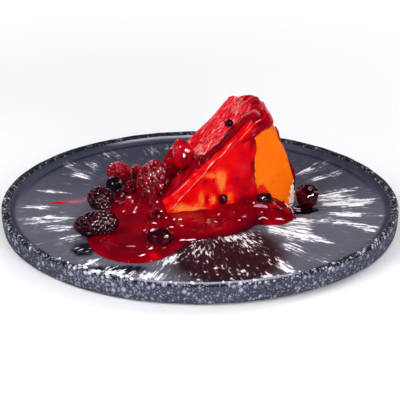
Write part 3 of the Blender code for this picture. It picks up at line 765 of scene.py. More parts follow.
def slice_path():
    """Half section from base to baked top: run along it, s, r and its outward direction."""
    bend = np.linspace(0.0, math.pi / 2, 200)
    power = 2.0 / ROUNDING
    edge_s = BULGE_AT * (1.0 - np.abs(np.cos(bend)) ** power)
    edge_r = BASE_RADIUS + (CAKE_RADIUS - BASE_RADIUS) * np.abs(np.sin(bend)) ** power
    along = np.linspace(0.0, 1.0, 120)[1:]
    side_s = BULGE_AT + (CAKE_HEIGHT - BULGE_AT) * along
    side_r = CAKE_RADIUS - (CAKE_RADIUS - TOP_RADIUS) * (0.7 * along + 0.3 * along ** 3)
    flat = np.linspace(0.0, 1.0, FLAT_STEPS + 1)[:-1]
    s = np.concatenate((0 * flat, edge_s, side_s, 0 * flat + CAKE_HEIGHT))
    r = np.concatenate((BASE_RADIUS * flat, edge_r, side_r, TOP_RADIUS * flat[::-1]))
    run = np.concatenate(((0.0,), np.cumsum(np.hypot(np.diff(s), np.diff(r)))))
    step_s, step_r = np.gradient(s), np.gradient(r)
    length = np.hypot(step_s, step_r) + 1e-12
    return run, s, r, -step_r / length, step_s / length


PATH_RUN, PATH_S, PATH_R, PATH_OUT_S, PATH_OUT_R = slice_path()
TOP_EDGE_RUN = PATH_RUN[-1] - TOP_RADIUS
CRUST_PART = slice(FLAT_STEPS, -FLAT_STEPS)    # between the flat base and the baked top


def path_values(run, *tables):
    """Values of the half section at these distances along it."""
    return [np.interp(run, PATH_RUN, table) for table in tables]


def crust_run_at(s):
    """Distance along the half section where the crust is at these heights of the cake."""
    return np.interp(s, PATH_S[CRUST_PART], PATH_RUN[CRUST_PART])


def crust_radius(distance, radius, theta):
    """The crust's radius at an angle: it leans out towards the upper cut, and it is a bit wavy."""
    turn = theta / SLICE_ANGLE
    lean = CRUST_LEAN * (radius / CAKE_RADIUS) * turn ** 2
    wave = 0.0005 * np.sin(9.0 * theta + 90.0 * distance) + 0.0003 * np.sin(23.0 * theta)
    return radius + lean + wave * np.sin(math.pi * turn)


def slice_point(distance, share, radius, theta):
    """A point in the slice's frame, at a share of the way from its tip to the crust."""
    tip = -TIP_SLIP * np.clip(distance / CAKE_HEIGHT, 0.0, 1.0)
    across = tip + share * (radius * np.cos(theta) - tip)
    return np.stack((across, distance + 0.0 * across, share * radius * np.sin(theta)), -1)


def cut_point(back, up):
    """A point on the upper cut, by the distances back and up along it."""
    return slice_point(back, up / BASE_RADIUS, BASE_RADIUS, SLICE_ANGLE)


def section_point(run, theta):
    """A point of the slice's outside, from the distance along its half section and the angle."""
    s, r = path_values(run, PATH_S, PATH_R)
    on_top = run > TOP_EDGE_RUN
    full = np.where(on_top, TOP_RADIUS, r)
    share = np.where(on_top, r / TOP_RADIUS, 1.0)
    return slice_point(s, share, crust_radius(s, full, theta), theta)


def section_normal(run, theta):
    """Outward direction there, in the slice's frame."""
    out_s, out_r = path_values(run, PATH_OUT_S, PATH_OUT_R)
    return np.stack((out_r * np.cos(theta), out_s + 0.0 * theta, out_r * np.sin(theta)), -1)


def slice_angles(local):
    """Angle above the plate and distance from the axis of points in the slice's frame."""
    across, back, up = local.T
    from_tip = across + TIP_SLIP * np.clip(back / CAKE_HEIGHT, 0.0, 1.0)
    return np.arctan2(up, np.maximum(from_tip, 1e-6)), np.hypot(from_tip, up)


# top of the sauce's stain on the crust: how far across, and up to what height
STAIN_ACROSS = np.array((62, 66, 68.6, 71.7, 76, 80.7, 86.3, 89)) * MM
STAIN_UP = np.array((19, 21, 20.6, 13.7, 9.5, 6.8, 2.4, -2)) * MM
# where the crust is torn and shows its crumb: by the angle, from how far back
TORN_THETA = np.radians((0.0, 4.0, 7.0, 10.0, 13.0))
TORN_BACK = np.array((4.8, 5.6, 7.0, 10.5, 20.0)) * MM
BAKED_FROM, BAKED_TO = 0.0625, 0.0636


def build_cake():
    """Base, crust and baked top as one belt over the angle, closed by the two cuts."""
    share = np.linspace(0.0, 1.0, 41)
    crust_run = np.linspace(BASE_RADIUS, TOP_EDGE_RUN, 130)
    top_run = TOP_EDGE_RUN + TOP_RADIUS * share[1:]
    run = np.concatenate((BASE_RADIUS * share[:-1], crust_run, top_run))
    theta = np.linspace(0.0, SLICE_ANGLE, 96)
    grids = [section_point(run[None, :], theta[:, None])]
    s, r = path_values(crust_run, PATH_S, PATH_R)
    for angle in (0.0, SLICE_ANGLE):
        radius = crust_radius(s, r, angle)
        grids.append(slice_point(s[None, :], share[:, None], radius[None, :], angle))
    mesh = skin_mesh("cheesecake_slice", grids)
    local = points_of(mesh)
    theta, radius = slice_angles(local)
    back, up = local[:, 1], local[:, 2]

    torn_from = np.interp(theta, TORN_THETA, TORN_BACK)
    ragged = waves(local, 0.004, 11) * 0.0008 + waves(local, 0.0016, 12) * 0.0005
    cream = smooth_step(back + ragged, torn_from, torn_from + 0.0012)
    cream *= smooth_step(theta - ragged * 9.0, math.radians(12.5), math.radians(11.0))
    cream *= smooth_step(back - 0.0035 * waves(local, 0.009, 10) - ragged, 0.055, 0.046)
    cream *= smooth_step(radius, 0.074, 0.078)
    burnt = smooth_step(back + waves(local, 0.010, 13) * 0.0030, 0.050, 0.0615)
    burnt *= (back > CAKE_HEIGHT - 0.0005) | (radius > 0.070)
    burnt = np.maximum(burnt, smooth_step(back, BAKED_FROM, BAKED_TO))
    rough = waves(local, 0.0022, 14) * 0.00045 + waves(local, 0.0009, 15) * 0.00022
    blisters = np.abs(waves(local, 0.011, 16)) * 0.0009 + np.abs(waves(local, 0.004, 19)) * 0.0003
    dents = waves(local, 0.018, 17) * 0.00025 + waves(local, 0.006, 18) * 0.00008
    dents *= 0.15 + 0.85 * smooth_step(back, 0.0015, 0.0060)
    lift = dents + cream * (rough - 0.0006) - smooth_step(back, BAKED_FROM, CAKE_HEIGHT) * blisters
    lift *= smooth_step(up, 0.0002, 0.003)
    lifted = on_plate(local + points_of(mesh, "normal") * lift[:, None])
    mesh.vertices.foreach_set("co", lifted.astype(np.float32).ravel())
    mesh.update()

    across, high = radius * np.cos(theta), radius * np.sin(theta)
    stain_top = np.interp(across, STAIN_ACROSS, STAIN_UP) + ragged * 0.5
    marks = {
        "cream": cream,
        "burnt": burnt,
        "stain": smooth_step(stain_top - high, 0.0, 0.0008) * smooth_step(across, 0.060, 0.062),
        "toasted": smooth_step(back + 2.0 * ragged, 0.0115, 0.0165) * 0.6,
        "paler": smooth_step(radius, 0.080, 0.070) * 0.7,
    }
    for name, values in marks.items():
        write_mark(mesh, name, np.clip(values, 0.0, 1.0))
    return add_piece(mesh, cake_material(), "cake", ("cheesecake",))


# thin places of the film, where the custard glows through: across, up, half sizes, weight
GLOW_SPOTS = (
    (11, 6.4, 4, 2.8, 1.15), (16.4, 4, 4.2, 3, 1.15), (21.8, 4.6, 3, 3.2, 0.85),
    (25.4, 12, 1.7, 4.6, 0.72), (33.6, 11, 2, 3.6, 0.85), (27.2, 4.2, 2, 2, 0.5),
    (38.3, 27.6, 3.4, 3.8, 0.9), (38.9, 21.5, 2.2, 5, 1), (44.6, 12.6, 2.2, 3.6, 0.7),
    (30.5, 28.6, 5, 1.9, 0.75), (54.8, 52, 1.2, 3.6, 0.45), (47, 7, 3, 2, 0.4),
)
# thick drops and patches of the film: across, up, half sizes, weight
DROP_SPOTS = (
    (28.1, 24.6, 2.4, 3.2, 0.30), (29.2, 12.3, 1.5, 3.2, 0.42), (49, 24, 4, 6, 0.12),
    (55, 17, 5, 7, 0.16), (33.8, 25.2, 0.9, 1.2, 0.30), (59, 48.5, 1.3, 4.5, 0.26),
    (59.8, 36, 1.5, 4, 0.24), (36.4, 12, 1.2, 3, 0.12), (35, 17.5, 2, 2.4, 0.16),
)
# how far along the half section the film reaches, by the angle
FILM_THETA = np.radians((0, 5, 15, 24, 32, 37, 42, 47.5))
FILM_RUN = np.array((63.5, 63.5, 64.5, 66.8, 71.8, 76.5, 80, 80)) * MM
# top of the bank of sauce against the base: across and up
FOOT_ACROSS = np.array((20, 27, 32, 36, 48, 58, 66, 75)) * MM
FOOT_UP = np.array((-5, 0.5, 4.6, 6.6, 8.6, 12.4, 15.6, 17)) * MM
FILM_START = 0.0015
FILM_ANGLES, FILM_STEPS = 190, 230
FILM_THIN, FILM_FULL = 0.00035, 0.0007     # its thickness where thinnest, and what depth adds
EDGE_BEAD, BORDER_ROLL = 0.0006, 0.0009    # swellings at the slice's edge and at its border
GLOW_FADE = 2.7
SHEET_SINK = 0.0003                # the sheets on the slice reach this far into it


def build_film():
    """A thin wet film over the smooth base: thin spots glow, drops and its border are thick."""
    theta = np.linspace(math.radians(0.6), SLICE_ANGLE, FILM_ANGLES)[:, None]
    share = np.linspace(0.0, 1.0, FILM_STEPS)[None, :]
    wobble = 0.0004 * np.sin(31.0 * theta) + 0.0002 * np.sin(83.0 * theta + 1.0)
    reach = np.interp(theta, FILM_THETA, FILM_RUN) + wobble
    run = FILM_START + (reach - FILM_START) * share
    base = section_point(run, theta)
    across, up = base[..., 0], base[..., 2]
    depth = 0.36 + 0.035 * waves(base, 0.012, 21) + 0.015 * waves(base, 0.004, 22)
    depth += 0.15 * smooth_step(across, 0.038, 0.058)
    glow = bells(across, up, GLOW_SPOTS) * (1.0 + 0.22 * waves(base, 0.003, 25))
    depth = 0.03 + (depth - 0.03) * np.exp(-GLOW_FADE * glow) + bells(across, up, DROP_SPOTS)
    foot = np.interp(across, FOOT_ACROSS, FOOT_UP) + 0.0009 * waves(base, 0.007, 24)
    depth += 0.30 * smooth_step(foot + 0.0035 - up, 0.0, 0.0045)
    depth = np.clip(depth, 0.02, 0.80)
    border = (reach - run) / MM
    to_edge = across * CUT_SIN - up * CUT_COS
    thick = FILM_THIN + FILM_FULL * depth + EDGE_BEAD * mound(to_edge, 0.0011)
    thick += BORDER_ROLL * mound(border - 1.4, 1.2) * smooth_step(theta, 0.42, 0.62)
    thick *= np.sqrt(np.clip(border, 0.0, 1.0)) * 0.96 + 0.04
    normal = section_normal(run, theta)
    outer = on_plate(base + normal * thick[..., None])
    inner = on_plate(base - normal * SHEET_SINK)
    depth = depth + 0.14 * mound(border - 0.9, 0.9) * smooth_step(theta, 0.30, 0.50)
    grids = shell_grids(outer, inner, depth)
    glaze = sauce_material("sauce_film_glaze", 0.05, 0.15, 0.3)
    return build_piece("sauce_film", grids, ("depth",), glaze, "sauce")


# borders on the upper cut, by the distance up it: a fold in the thick strip, and the strip's end
CUT_UP = np.array((0, 8, 20, 36, 42, 48, 54, 60, 66, 70, 78, 84, 90, 95, 100)) * MM
FOLD_BACK = np.array((17, 15, 12, 7.8, 6.8, 5.6, 3.8, 2.6, 2.0, 2.0, 2.2, 2.6, 3.0, 3.2, 3.4)) * MM
STRIP_BACK = np.array((24, 26, 28, 28, 26, 21, 17.5, 15.5, 15.5, 16.5, 18, 14.5, 12, 11, 11)) * MM
# the crease where the lip folds over the corner, by the distance back: how far down the crust
CREASE_BACK = np.array((0, 2.5, 5, 7.5, 11, 16)) * MM
CREASE_DOWN = np.array((0, 0.4, 2.6, 4.6, 5.9, 7.0)) * MM
# how far down the crust the lip hangs, by the distance back
LIP_BACK = np.array((0, 1.3, 4, 8, 14, 17, 21, 30, 64)) * MM
LIP_DOWN = np.array((6.2, 9.2, 11.2, 14.2, 18.2, 16.0, 10.5, 9.0, 9.0)) * MM
# pale torn edges in the sheet, raised and painted as highlights: points (up, back), half width and
# weight
TORN_EDGE_HIGHLIGHTS = (
    (((77.8, 16.2), (83.7, 12.6), (88.5, 9.8), (91.8, 8.4), (95, 9)), 0.60, 1),
    (((83.5, 31.5), (86.1, 29.8), (90.1, 28), (95, 22.5)), 0.75, 0.9),
    (((61.2, 13.6), (69.7, 15.8)), 0.50, 0.6), (((72, 17.5), (76.5, 21), (82, 23)), 0.45, 0.7),
    (((97, 18.5), (100.2, 17.2), (103.5, 15.5), (106.7, 13.4)), 1.10, 1),
)
# knobs along its crest: up, back, reach and height; spots that don't shine: two reaches, weight
CREST_KNOBS = (
    (83, 59, 2.4, 0.6), (93.5, 29.5, 2, 0.5), (95.5, 22, 1.6, 0.5), (97.5, 18, 1.5, 0.8),
)
DULL_SPOTS = ((86.8, 3.4, 3, 2, 1), (87.7, 1.2, 2.6, 1.8, 1))
SHEET_EDGE = 0.0016                # the sheet thins out over this distance from its borders
SHEET_THIN, SHEET_THICK = 0.00085, 0.00155  # behind, and in the strip in front
HUMP, CREST, LIP_ROLL = 0.0031, 0.0008, 0.0016    # what the corner adds, and the lip's roll
SHEET_FRONT = 0.006                # up to here it bends over the base and has more columns
FRONT_COLUMNS, COLUMNS = 34, 130
CUT_STEPS, SWEEP_STEPS, LIP_STEPS = 150, 14, 60


def sheet_grid():
    """The grid under the sauce: it runs up the cut, sweeps round the corner and down the crust.

    Beside places and normals it holds the distances back and up the cut, the crust's radius, where
    the sheet starts, the lip's length and the share of it gone down, and the borders in the sheet.
    """
    front = np.linspace(0.0, SHEET_FRONT, FRONT_COLUMNS)[:-1]
    s = np.concatenate((front, np.linspace(SHEET_FRONT, CAKE_HEIGHT, COLUMNS)))
    crust_run = crust_run_at(s)
    radius = crust_radius(s, np.interp(crust_run, PATH_RUN, PATH_R), SLICE_ANGLE)
    ripple = 1.0 + np.sin(520.0 * s) * np.sin(170.0 * s)
    start = 0.0035 + 0.0008 * smooth_step(s, 0.026, 0.034) * ripple
    drips = 0.0012 * np.sin(300.0 * s) * np.clip(s / 0.016, 0.0, 1.0) ** 2
    lip = np.interp(s, LIP_BACK, LIP_DOWN) + drips + 0.0002 * np.sin(900.0 * s)
    columns = (s, crust_run, radius, start, lip)
    s, crust_run, radius, start, lip = (column[:, None] for column in columns)

    share = start / radius + (1.0 - start / radius) * np.linspace(0.0, 1.0, CUT_STEPS)
    cut = slice_point(s, share, radius, SLICE_ANGLE)
    sweep = np.linspace(0.0, 1.0, SWEEP_STEPS)[1:-1]
    corner = np.repeat(cut[:, -1:, :], len(sweep), axis=1)
    crust_normal = section_normal(crust_run, SLICE_ANGLE)
    swept = unit(CUT_OUT * (1.0 - sweep)[:, None] + crust_normal * sweep[:, None])
    down = np.linspace(0.0, 1.0, LIP_STEPS)
    angle = SLICE_ANGLE - down * (lip / radius)
    hang = section_point(crust_run, angle)
    base = np.concatenate((cut, corner, hang), 1)
    normal = np.concatenate(
        (np.broadcast_to(CUT_OUT, cut.shape), swept, section_normal(crust_run, angle)), 1,
    )
    back = np.broadcast_to(s, base.shape[:2])
    upward = np.concatenate((share * radius, 0 * sweep + radius, radius + lip * down), 1)
    front_lean = smooth_step(back, 0.0016, 0.0)[..., None] * np.array((0.0, -1.2, 0.0))
    gone_down = np.clip((upward - radius) / lip, 0.0, 1.0)
    torn = 0.0
    for points, reach, weight in TORN_EDGE_HIGHLIGHTS:
        torn = np.maximum(torn, weight * near_line(upward, back, points, reach))
    return SimpleNamespace(
        base=base, normal=unit(normal + front_lean), back=back, upward=upward, radius=radius,
        start=start, lip=lip, on_lip=upward > radius + 1e-9, gone_down=gone_down,
        past_crease=gone_down * lip - np.interp(back, CREASE_BACK, CREASE_DOWN),
        fold=np.interp(upward, CUT_UP, FOLD_BACK) + 0.0006 * waves(base, 0.012, 31),
        strip=np.interp(upward, CUT_UP, STRIP_BACK) + 0.0011 * waves(base, 0.006, 32),
        torn=torn * np.clip(0.75 + 0.45 * waves(base, 0.005, 29), 0.0, 1.0),
    )


def strip_share(at):
    """1 in the thick strip in front of its border, 0 behind it."""
    return 1.0 - smooth_step(at.back, at.strip - 0.0006, at.strip + 0.0008)


def sheet_thickness(at):
    """A streaked skin, with a thick strip in front, a roll on the lip and a hump at the corner."""
    base, back, upward, radius = at.base, at.back, at.upward, at.radius
    streak_lines = np.stack((upward * 0.16, back), -1)
    streaks = waves(streak_lines, 0.0032, 33) * 0.00016 + waves(streak_lines, 0.0014, 34) * 0.00007
    lumps = waves(base, 0.007, 35) * 0.00018
    thin = SHEET_THIN + streaks + waves(base, 0.0022, 36) * 0.00008
    thick = SHEET_THICK + lumps + 0.0006 * mound(back - at.fold, 0.0009)
    thick = thick + 0.0006 * smooth_step(back, at.fold, at.fold + 0.0012)
    sheet = thin + (thick - thin) * strip_share(at)
    roll = LIP_ROLL + 0.0010 * mound(at.gone_down - 0.72, 0.22) + lumps
    to_roll = (roll - sheet) * smooth_step(at.gone_down, 0.0, 0.3)
    sheet = np.where(at.on_lip, sheet + to_roll, sheet)
    hump = HUMP * smooth_step(back, 0.007, 0.017) * smooth_step(back, 0.054, 0.034)
    hump = hump + CREST * smooth_step(back, 0.040, 0.060)
    hump = hump * smooth_step(upward, radius - 0.016, radius - 0.002)
    crease = 0.0007 * mound(at.past_crease, 0.0011) * smooth_step(back, 0.015, 0.011)
    sheet = sheet + hump * (1.0 - 0.75 * at.gone_down) + np.where(at.on_lip, crease, 0.0)
    sheet = sheet + 0.00035 * at.torn + bells(upward, back, CREST_KNOBS) * MM
    end = np.sqrt(np.clip((1.0 - at.gone_down) * at.lip / SHEET_EDGE, 0.0, 1.0))
    sheet = sheet * np.where(at.on_lip, 0.05 + 0.95 * end, 1.0)
    sheet = sheet * np.sqrt(np.clip((CAKE_HEIGHT - back + 0.0002) / SHEET_EDGE, 0.02, 1.0))
    return sheet * np.clip((upward - at.start) / 0.002 + 0.15, 0.0, 1.0)


def sheet_marks(at):
    """Depth, streaks, painted sheen, pale painted highlights and dull spots, and places up the cut
    and back.
    """
    base, back, upward, radius = at.base, at.back, at.upward, at.radius
    depth = 0.80 + 0.06 * waves(base, 0.010, 37) - 0.10 * smooth_step(upward, 0.045, 0.020)
    near_edge = 0.36 + 0.04 * waves(base, 0.008, 38) + 0.22 * smooth_step(upward, 0.060, 0.085)
    depth = np.where(back < at.fold, near_edge, depth)
    depth += 0.10 * mound(back - at.fold - 0.0012, 0.0012) - 0.06 * mound(back, 0.0010)
    orange = 0.42 * mound(at.past_crease - 0.0012, 0.0008) * smooth_step(back, 0.0125, 0.0085)
    depth = depth - np.where(at.on_lip, orange, 0.0)
    to_lip = (0.74 - depth) * smooth_step(at.gone_down, 0.30, 0.75)
    depth = np.where(at.on_lip, depth + to_lip, depth)
    depth = depth - 0.34 * mound(upward - radius - 0.002, 0.0024, back - 0.027, 0.006)
    at_corner = smooth_step(upward, radius - 0.0060, radius - 0.0010)
    at_corner *= smooth_step(back, 0.056, 0.040) * smooth_step(upward, 0.080, 0.086)
    at_corner *= 0.66 + 0.34 * waves(base, 0.005, 30)
    streaky = 1.0 - np.maximum(strip_share(at), at_corner)
    # a pale line along the strip's border, painted as a highlight
    ridge_highlight = mound(back - at.strip, 0.0006) * smooth_step(upward, 0.040, 0.050)
    ridge_highlight = ridge_highlight * smooth_step(upward, 0.086, 0.078) * (0.55 + 0.45 * waves(base, 0.009, 39))
    # more painted sheen behind the strip and at the top corner
    sheen_boost = smooth_step(back - at.strip, 0.020, 0.0) * smooth_step(upward, 0.080, 0.045)
    return {
        "depth": np.clip(depth, 0.0, 1.0),
        "streaky": streaky * (1.0 - 0.15 * smooth_step(upward, 0.086, 0.094)),
        "up_cut": upward / 0.1,
        "back": back / 0.1,
        "sheen_boost": sheen_boost + 0.8 * mound(upward - 0.086, 0.008, back - 0.048, 0.014),
        "ridge_highlight": np.maximum(np.where(at.on_lip, 0.0, np.clip(ridge_highlight, 0.0, 1.0)), at.torn),
        "dull": bells(upward, back, DULL_SPOTS),
    }


def build_blanket():
    """The sauce over the upper cut and round the crust's corner, as a closed sheet."""
    at = sheet_grid()
    marks = sheet_marks(at)
    outer = on_plate(at.base + at.normal * sheet_thickness(at)[..., None])
    inner = on_plate(at.base - np.where(at.back < 0.0005, 0.0, SHEET_SINK)[..., None] * at.normal)
    grids = shell_grids(outer, inner, *marks.values())
    return build_piece(
        "sauce_over_cut", grids, tuple(marks), blanket_material(), "sauce", ("sauce_blanket",),
    )


# ==== pool ====================================================================================
POOL_DEPTH = 0.0034
POOL_LIP = 0.0007                  # its height at the very edge
POOL_EDGE = 0.0055                 # it is rounded over this distance
POOL_CURVE = 1.8
POOL_COLUMNS, POOL_ROWS = 300, 150
POOL_LIFT, POOL_SINK = 0.00005, 0.0001     # its skin and its underside, from the plate's floor
DROP_LIFT, DROP_SINK = 0.00004, 0.00005    # the same for low drops
# its two borders from left to right: x and y
POOL_FRONT = np.array((
    (-73, -56), (-70, -71), (-62, -84), (-49, -93), (-33, -94), (-20, -84), (-9, -67.5),
    (14, -56), (30, -45), (38, -36), (54, -35.5), (64, -25),
)) * MM
POOL_BACK = np.array((
    (-73, -56), (-70, -30), (-65, -8), (-56, 13), (-40, 22), (-25, 15), (-8, 3), (30, 0),
    (57, -11), (64, -26.5),
)) * MM
# heaps of sauce: x, y, reaches and height, at the tongue, the berries, the tip and the round foot
POOL_HEAPS = (
    (50, -25, 13, 11, 1.6), (-34, -3, 15, 16, 3.4), (-27, -28, 6, 10, 1.2),
    (42, -22.5, 7.8, 7.5, 4.8),
)
# lumps of fruit and seeds under the sauce: x, y, reach and height
POOL_LUMPS = (
    (-35, -24, 4, 1.6), (-30, -42, 3.2, 1.2), (-22, -47, 2.2, 1.3), (-18, -57, 1.8, 1),
    (-14, -44, 2, 1.2), (-7, -52, 2.6, 0.8), (-47, -16, 3.4, 1.4), (-42, -29, 3, 0.9),
    (-40, -10, 3, 2), (-36, -58, 2, 0.8), (-48, -76, 4.5, 1), (-43, -87, 2.2, 1),
    (-14, -70, 2, 1.1), (3, -42, 2.2, 1.4), (8, -49, 3, 0.9), (20, -38, 2.4, 1.5),
    (14, -35, 1.8, 1.5), (30, -36, 2.8, 1.6), (44, -30, 4, 2.2), (38, -27, 2.8, 1.4),
    (52, -26, 3, 1.8), (27, -31, 2.4, 1.6), (-3, -38, 2, 1.2), (56, -18, 3, 2), (-58, -70, 3, 0.7),
    (-25, -80, 2.4, 0.8), (-66, -64, 2.6, 0.9),
)
LUMPS_SHOW = 0.55                  # share of a lump's height that the sauce's skin follows
# thinner and deeper places of the pool's colour: x, y, reaches and change of depth
POOL_TINTS = ((0, -30, 30, 14, -0.06), (-28.7, -88.4, 3.5, 3, -0.30), (48, -26, 16, 11, 0.12))
SHORE_RISE, SHORE_FADE = 0.0008, 0.0014


def pool_level(x, y):
    """Depth of the sauce: a bank against the slice, heaps and lumps, and ripples."""
    along = (x - SEAT[0]) * SEAT_COS + (y - SEAT[1]) * SEAT_SIN
    ahead = (x - SEAT[0]) * SEAT_SIN - (y - SEAT[1]) * SEAT_COS
    places = np.stack((x, y), -1)
    bank = 0.0050 * smooth_step(along, 0.030, 0.048) + 0.0028 * mound(along - 0.061, 0.010)
    bank = bank * np.exp(-np.clip(ahead, 0.0, 1.0) / 0.009)
    bank = bank + 0.0015 * mound(along - 0.070, 0.008, ahead - 0.006, 0.007)
    lapping = np.clip(0.5 + 0.6 * waves(places, 0.017, 44), 0.0, 1.3) * mound(ahead, 0.0035)
    bank = bank + 0.0013 * lapping * smooth_step(along, 0.040, 0.030)
    heaps = bells(x, y, POOL_HEAPS) + LUMPS_SHOW * bells(x, y, POOL_LUMPS)
    ripples = 0.00007 * waves(places, 0.013, 41) + 0.00002 * waves(places, 0.005, 42)
    return POOL_DEPTH + bank + heaps * MM + ripples


def rounded_shore(level, shore):
    """The pool's height where it rises from its lip to its level, by the share of its edge."""
    return POOL_LIP + (level - POOL_LIP) * (1.0 - (1.0 - shore) ** POOL_CURVE)


def build_pool(shores):
    """The sauce on the plate: columns from its left to its right end, rounded along its edge."""
    front = smooth_line(POOL_FRONT, 500)
    back = smooth_line(POOL_BACK, 500)
    turn = np.linspace(0.0, math.pi, POOL_COLUMNS)
    x = 0.5 * (front[0, 0] + front[-1, 0]) - 0.5 * (front[-1, 0] - front[0, 0]) * np.cos(turn)
    near = np.interp(x, front[:, 0], front[:, 1])
    far = np.interp(x, back[:, 0], back[:, 1])
    share = 0.5 - 0.5 * np.cos(np.linspace(0.0, math.pi, POOL_ROWS))
    y = near[:, None] + (far - near)[:, None] * share
    x = np.broadcast_to(x[:, None], y.shape)
    places = np.stack((x, y), -1)
    outline = np.concatenate((front, back))[::4]
    inset = np.linalg.norm(places[:, :, None] - outline, axis=-1).min(axis=-1)
    shore = np.clip(inset / POOL_EDGE, 0.0, 1.0)
    level = pool_level(x, y)
    for middle, reach in shores:
        gap = np.hypot(x - middle[0], y - middle[1]) - reach
        level = level + SHORE_RISE * np.exp(-np.clip(gap, 0.0, 1.0) / SHORE_FADE)
    height = rounded_shore(level, shore) * smooth_step(inset, -0.0002, 0.0003)
    depth = 0.835 + 0.03 * waves(places, 0.020, 43) - 0.12 * (1.0 - shore) ** 3
    # painted shadow: a dark line along the front edge, where the sauce meets the plate
    edge_shadow = smooth_step(x, -0.014, -0.004) * smooth_step(x, 0.046, 0.038) * (share < 0.5)
    depth = depth + bells(x, y, POOL_TINTS) + 0.30 * edge_shadow * (1.0 - shore) ** 2
    depth = depth + 0.05 * smooth_step(y, -0.050, -0.072)
    top = np.stack((x, y, FLOOR_Z + POOL_LIFT + height), -1)
    low = np.stack((x, y, np.full(x.shape, FLOOR_Z - POOL_SINK)), -1)
    grids = shell_grids(top, low, depth)
    return build_piece("sauce_on_plate", grids, ("depth",), SAUCE, "sauce", ("sauce_pool",), 80.0)


def build_puddle(name, middle, half_sizes, height, depth, material, turn, seed):
    """A low drop on the plate: a dome over a wavy ellipse."""
    around = full_turn(73)
    share = np.linspace(0.0, 1.0, 26)
    circle = np.stack((np.cos(around), np.sin(around)), -1)
    reach = (1.0 + 0.16 * waves(circle, 1.1, seed))[:, None] * share
    x = reach * circle[:, :1] * half_sizes[0]
    y = reach * circle[:, 1:] * half_sizes[1]
    cos, sin = math.cos(turn), math.sin(turn)
    place_x = middle[0] + x * cos - y * sin
    place_y = middle[1] + x * sin + y * cos
    dome = height * np.sqrt(1.0 - share ** 3) + 0.0 * x
    top = np.stack((place_x, place_y, FLOOR_Z + DROP_LIFT + dome), -1)
    low = np.stack((place_x, place_y, np.full(x.shape, FLOOR_Z - DROP_SINK)), -1)
    edge = np.stack((top[:, -1], low[:, -1]), 1)
    grids = [with_marks(grid, depth) for grid in (top, low, edge)]
    return build_piece(name, grids, ("depth",), material, "sauce")


def rope_grid(path, width, height, normals, depth):
    """A half round bead of sauce along a path on a surface, sunk a little into it."""
    path = np.asarray(path)
    width, height = (np.asarray(size)[:, None, None] for size in (width, height))
    normals = np.broadcast_to(normals, path.shape)
    side = np.cross(unit(np.gradient(path, axis=0)), normals)
    turn = full_turn(25)[:, None]
    out = np.sin(turn) * normals[:, None, :] * height
    wide = np.cos(turn) * side[:, None, :] * width
    grid = path[:, None, :] + wide + np.where(np.sin(turn) > 0, out, out * 0.3)
    grid[0], grid[-1] = path[0], path[-1]
    return with_marks(grid, depth)


# ==== berries =================================================================================
def middle_of(name):
    """The middle of a solid's box."""
    low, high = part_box(name)
    return np.array((low + high) / 2)


def spin(turns):
    """The matrix of three turns in degrees."""
    return np.array(Euler([math.radians(value) for value in turns]).to_matrix())


def ellipsoid_spots(half_sizes, count, seed):
    """Spots spread evenly over an ellipsoid by golden turns, and their directions out."""
    heights = np.linspace(-1.0, 1.0, 400)
    a, b, c = half_sizes
    area = np.cumsum(np.sqrt(a ** 2 * (1.0 - heights ** 2) + (b * c) * heights ** 2))
    draw = np.random.default_rng(seed)
    level = np.interp((np.arange(count) + 0.5) / count * area[-1], area, heights)
    turn = np.arange(count) * math.pi * (3.0 - math.sqrt(5.0)) + draw.normal(size=count) * 0.10
    radius = np.sqrt(1.0 - level ** 2)
    spots = np.stack((a * level, b * radius * np.cos(turn), c * radius * np.sin(turn)), -1)
    return spots, unit(spots / np.array(half_sizes) ** 2)


def ellipsoid_area(half_sizes):
    """About the area of an ellipsoid, from a power mean of the products of its half sizes."""
    a, b, c = half_sizes
    power = 1.6
    mean = ((a * b) ** power + (a * c) ** power + (b * c) ** power) / 3
    return 4.0 * math.pi * mean ** (1 / power)


def berry_rays(rows, columns, half_sizes=(1.0, 1.0, 1.0)):
    """Points of an ellipsoid over angles along and round its first axis, closed at both ends."""
    polar = np.linspace(0.0, math.pi, rows)[:, None]
    around = full_turn(columns)
    sine = np.sin(polar)
    sine[0], sine[-1] = 0.0, 0.0
    a, b, c = half_sizes
    across = a * np.cos(polar) + 0.0 * around
    return np.stack((across, b * sine * np.cos(around), c * sine * np.sin(around)), -1)


def add_berry(name, slot, skin, places, cleft, tone):
    """Add a berry's grid of places, with its marks, in place of its solid."""
    grid = with_marks(places, np.clip(cleft, 0.0, 1.0), np.clip(tone, 0.0, 1.0))
    marks = ("cleft", "tone")
    return build_piece(name + "_fruit", [grid], marks, FRUITS[skin], slot, (name,), 75.0)


OVERLAP = 1.18                     # drupelets are larger than their cells by this
CELL_AREA = 3.46                   # of a six-sided cell whose half width is 1
CLEFT_END = 0.80                   # no cleft reaches deeper than this share of the way out
CLEFT_FULL = 0.55                  # a cleft this deep, in drupelet radii, is quite dark
BIG_BERRY = 0.009                  # berries longer than this have the finer grid
FINE_GRID, COARSE_GRID = (160, 181), (90, 109)
BARE_GRAIN, SAUCY_GRAIN = 0.008 * MM, 0.04 * MM    # fine relief of the skin


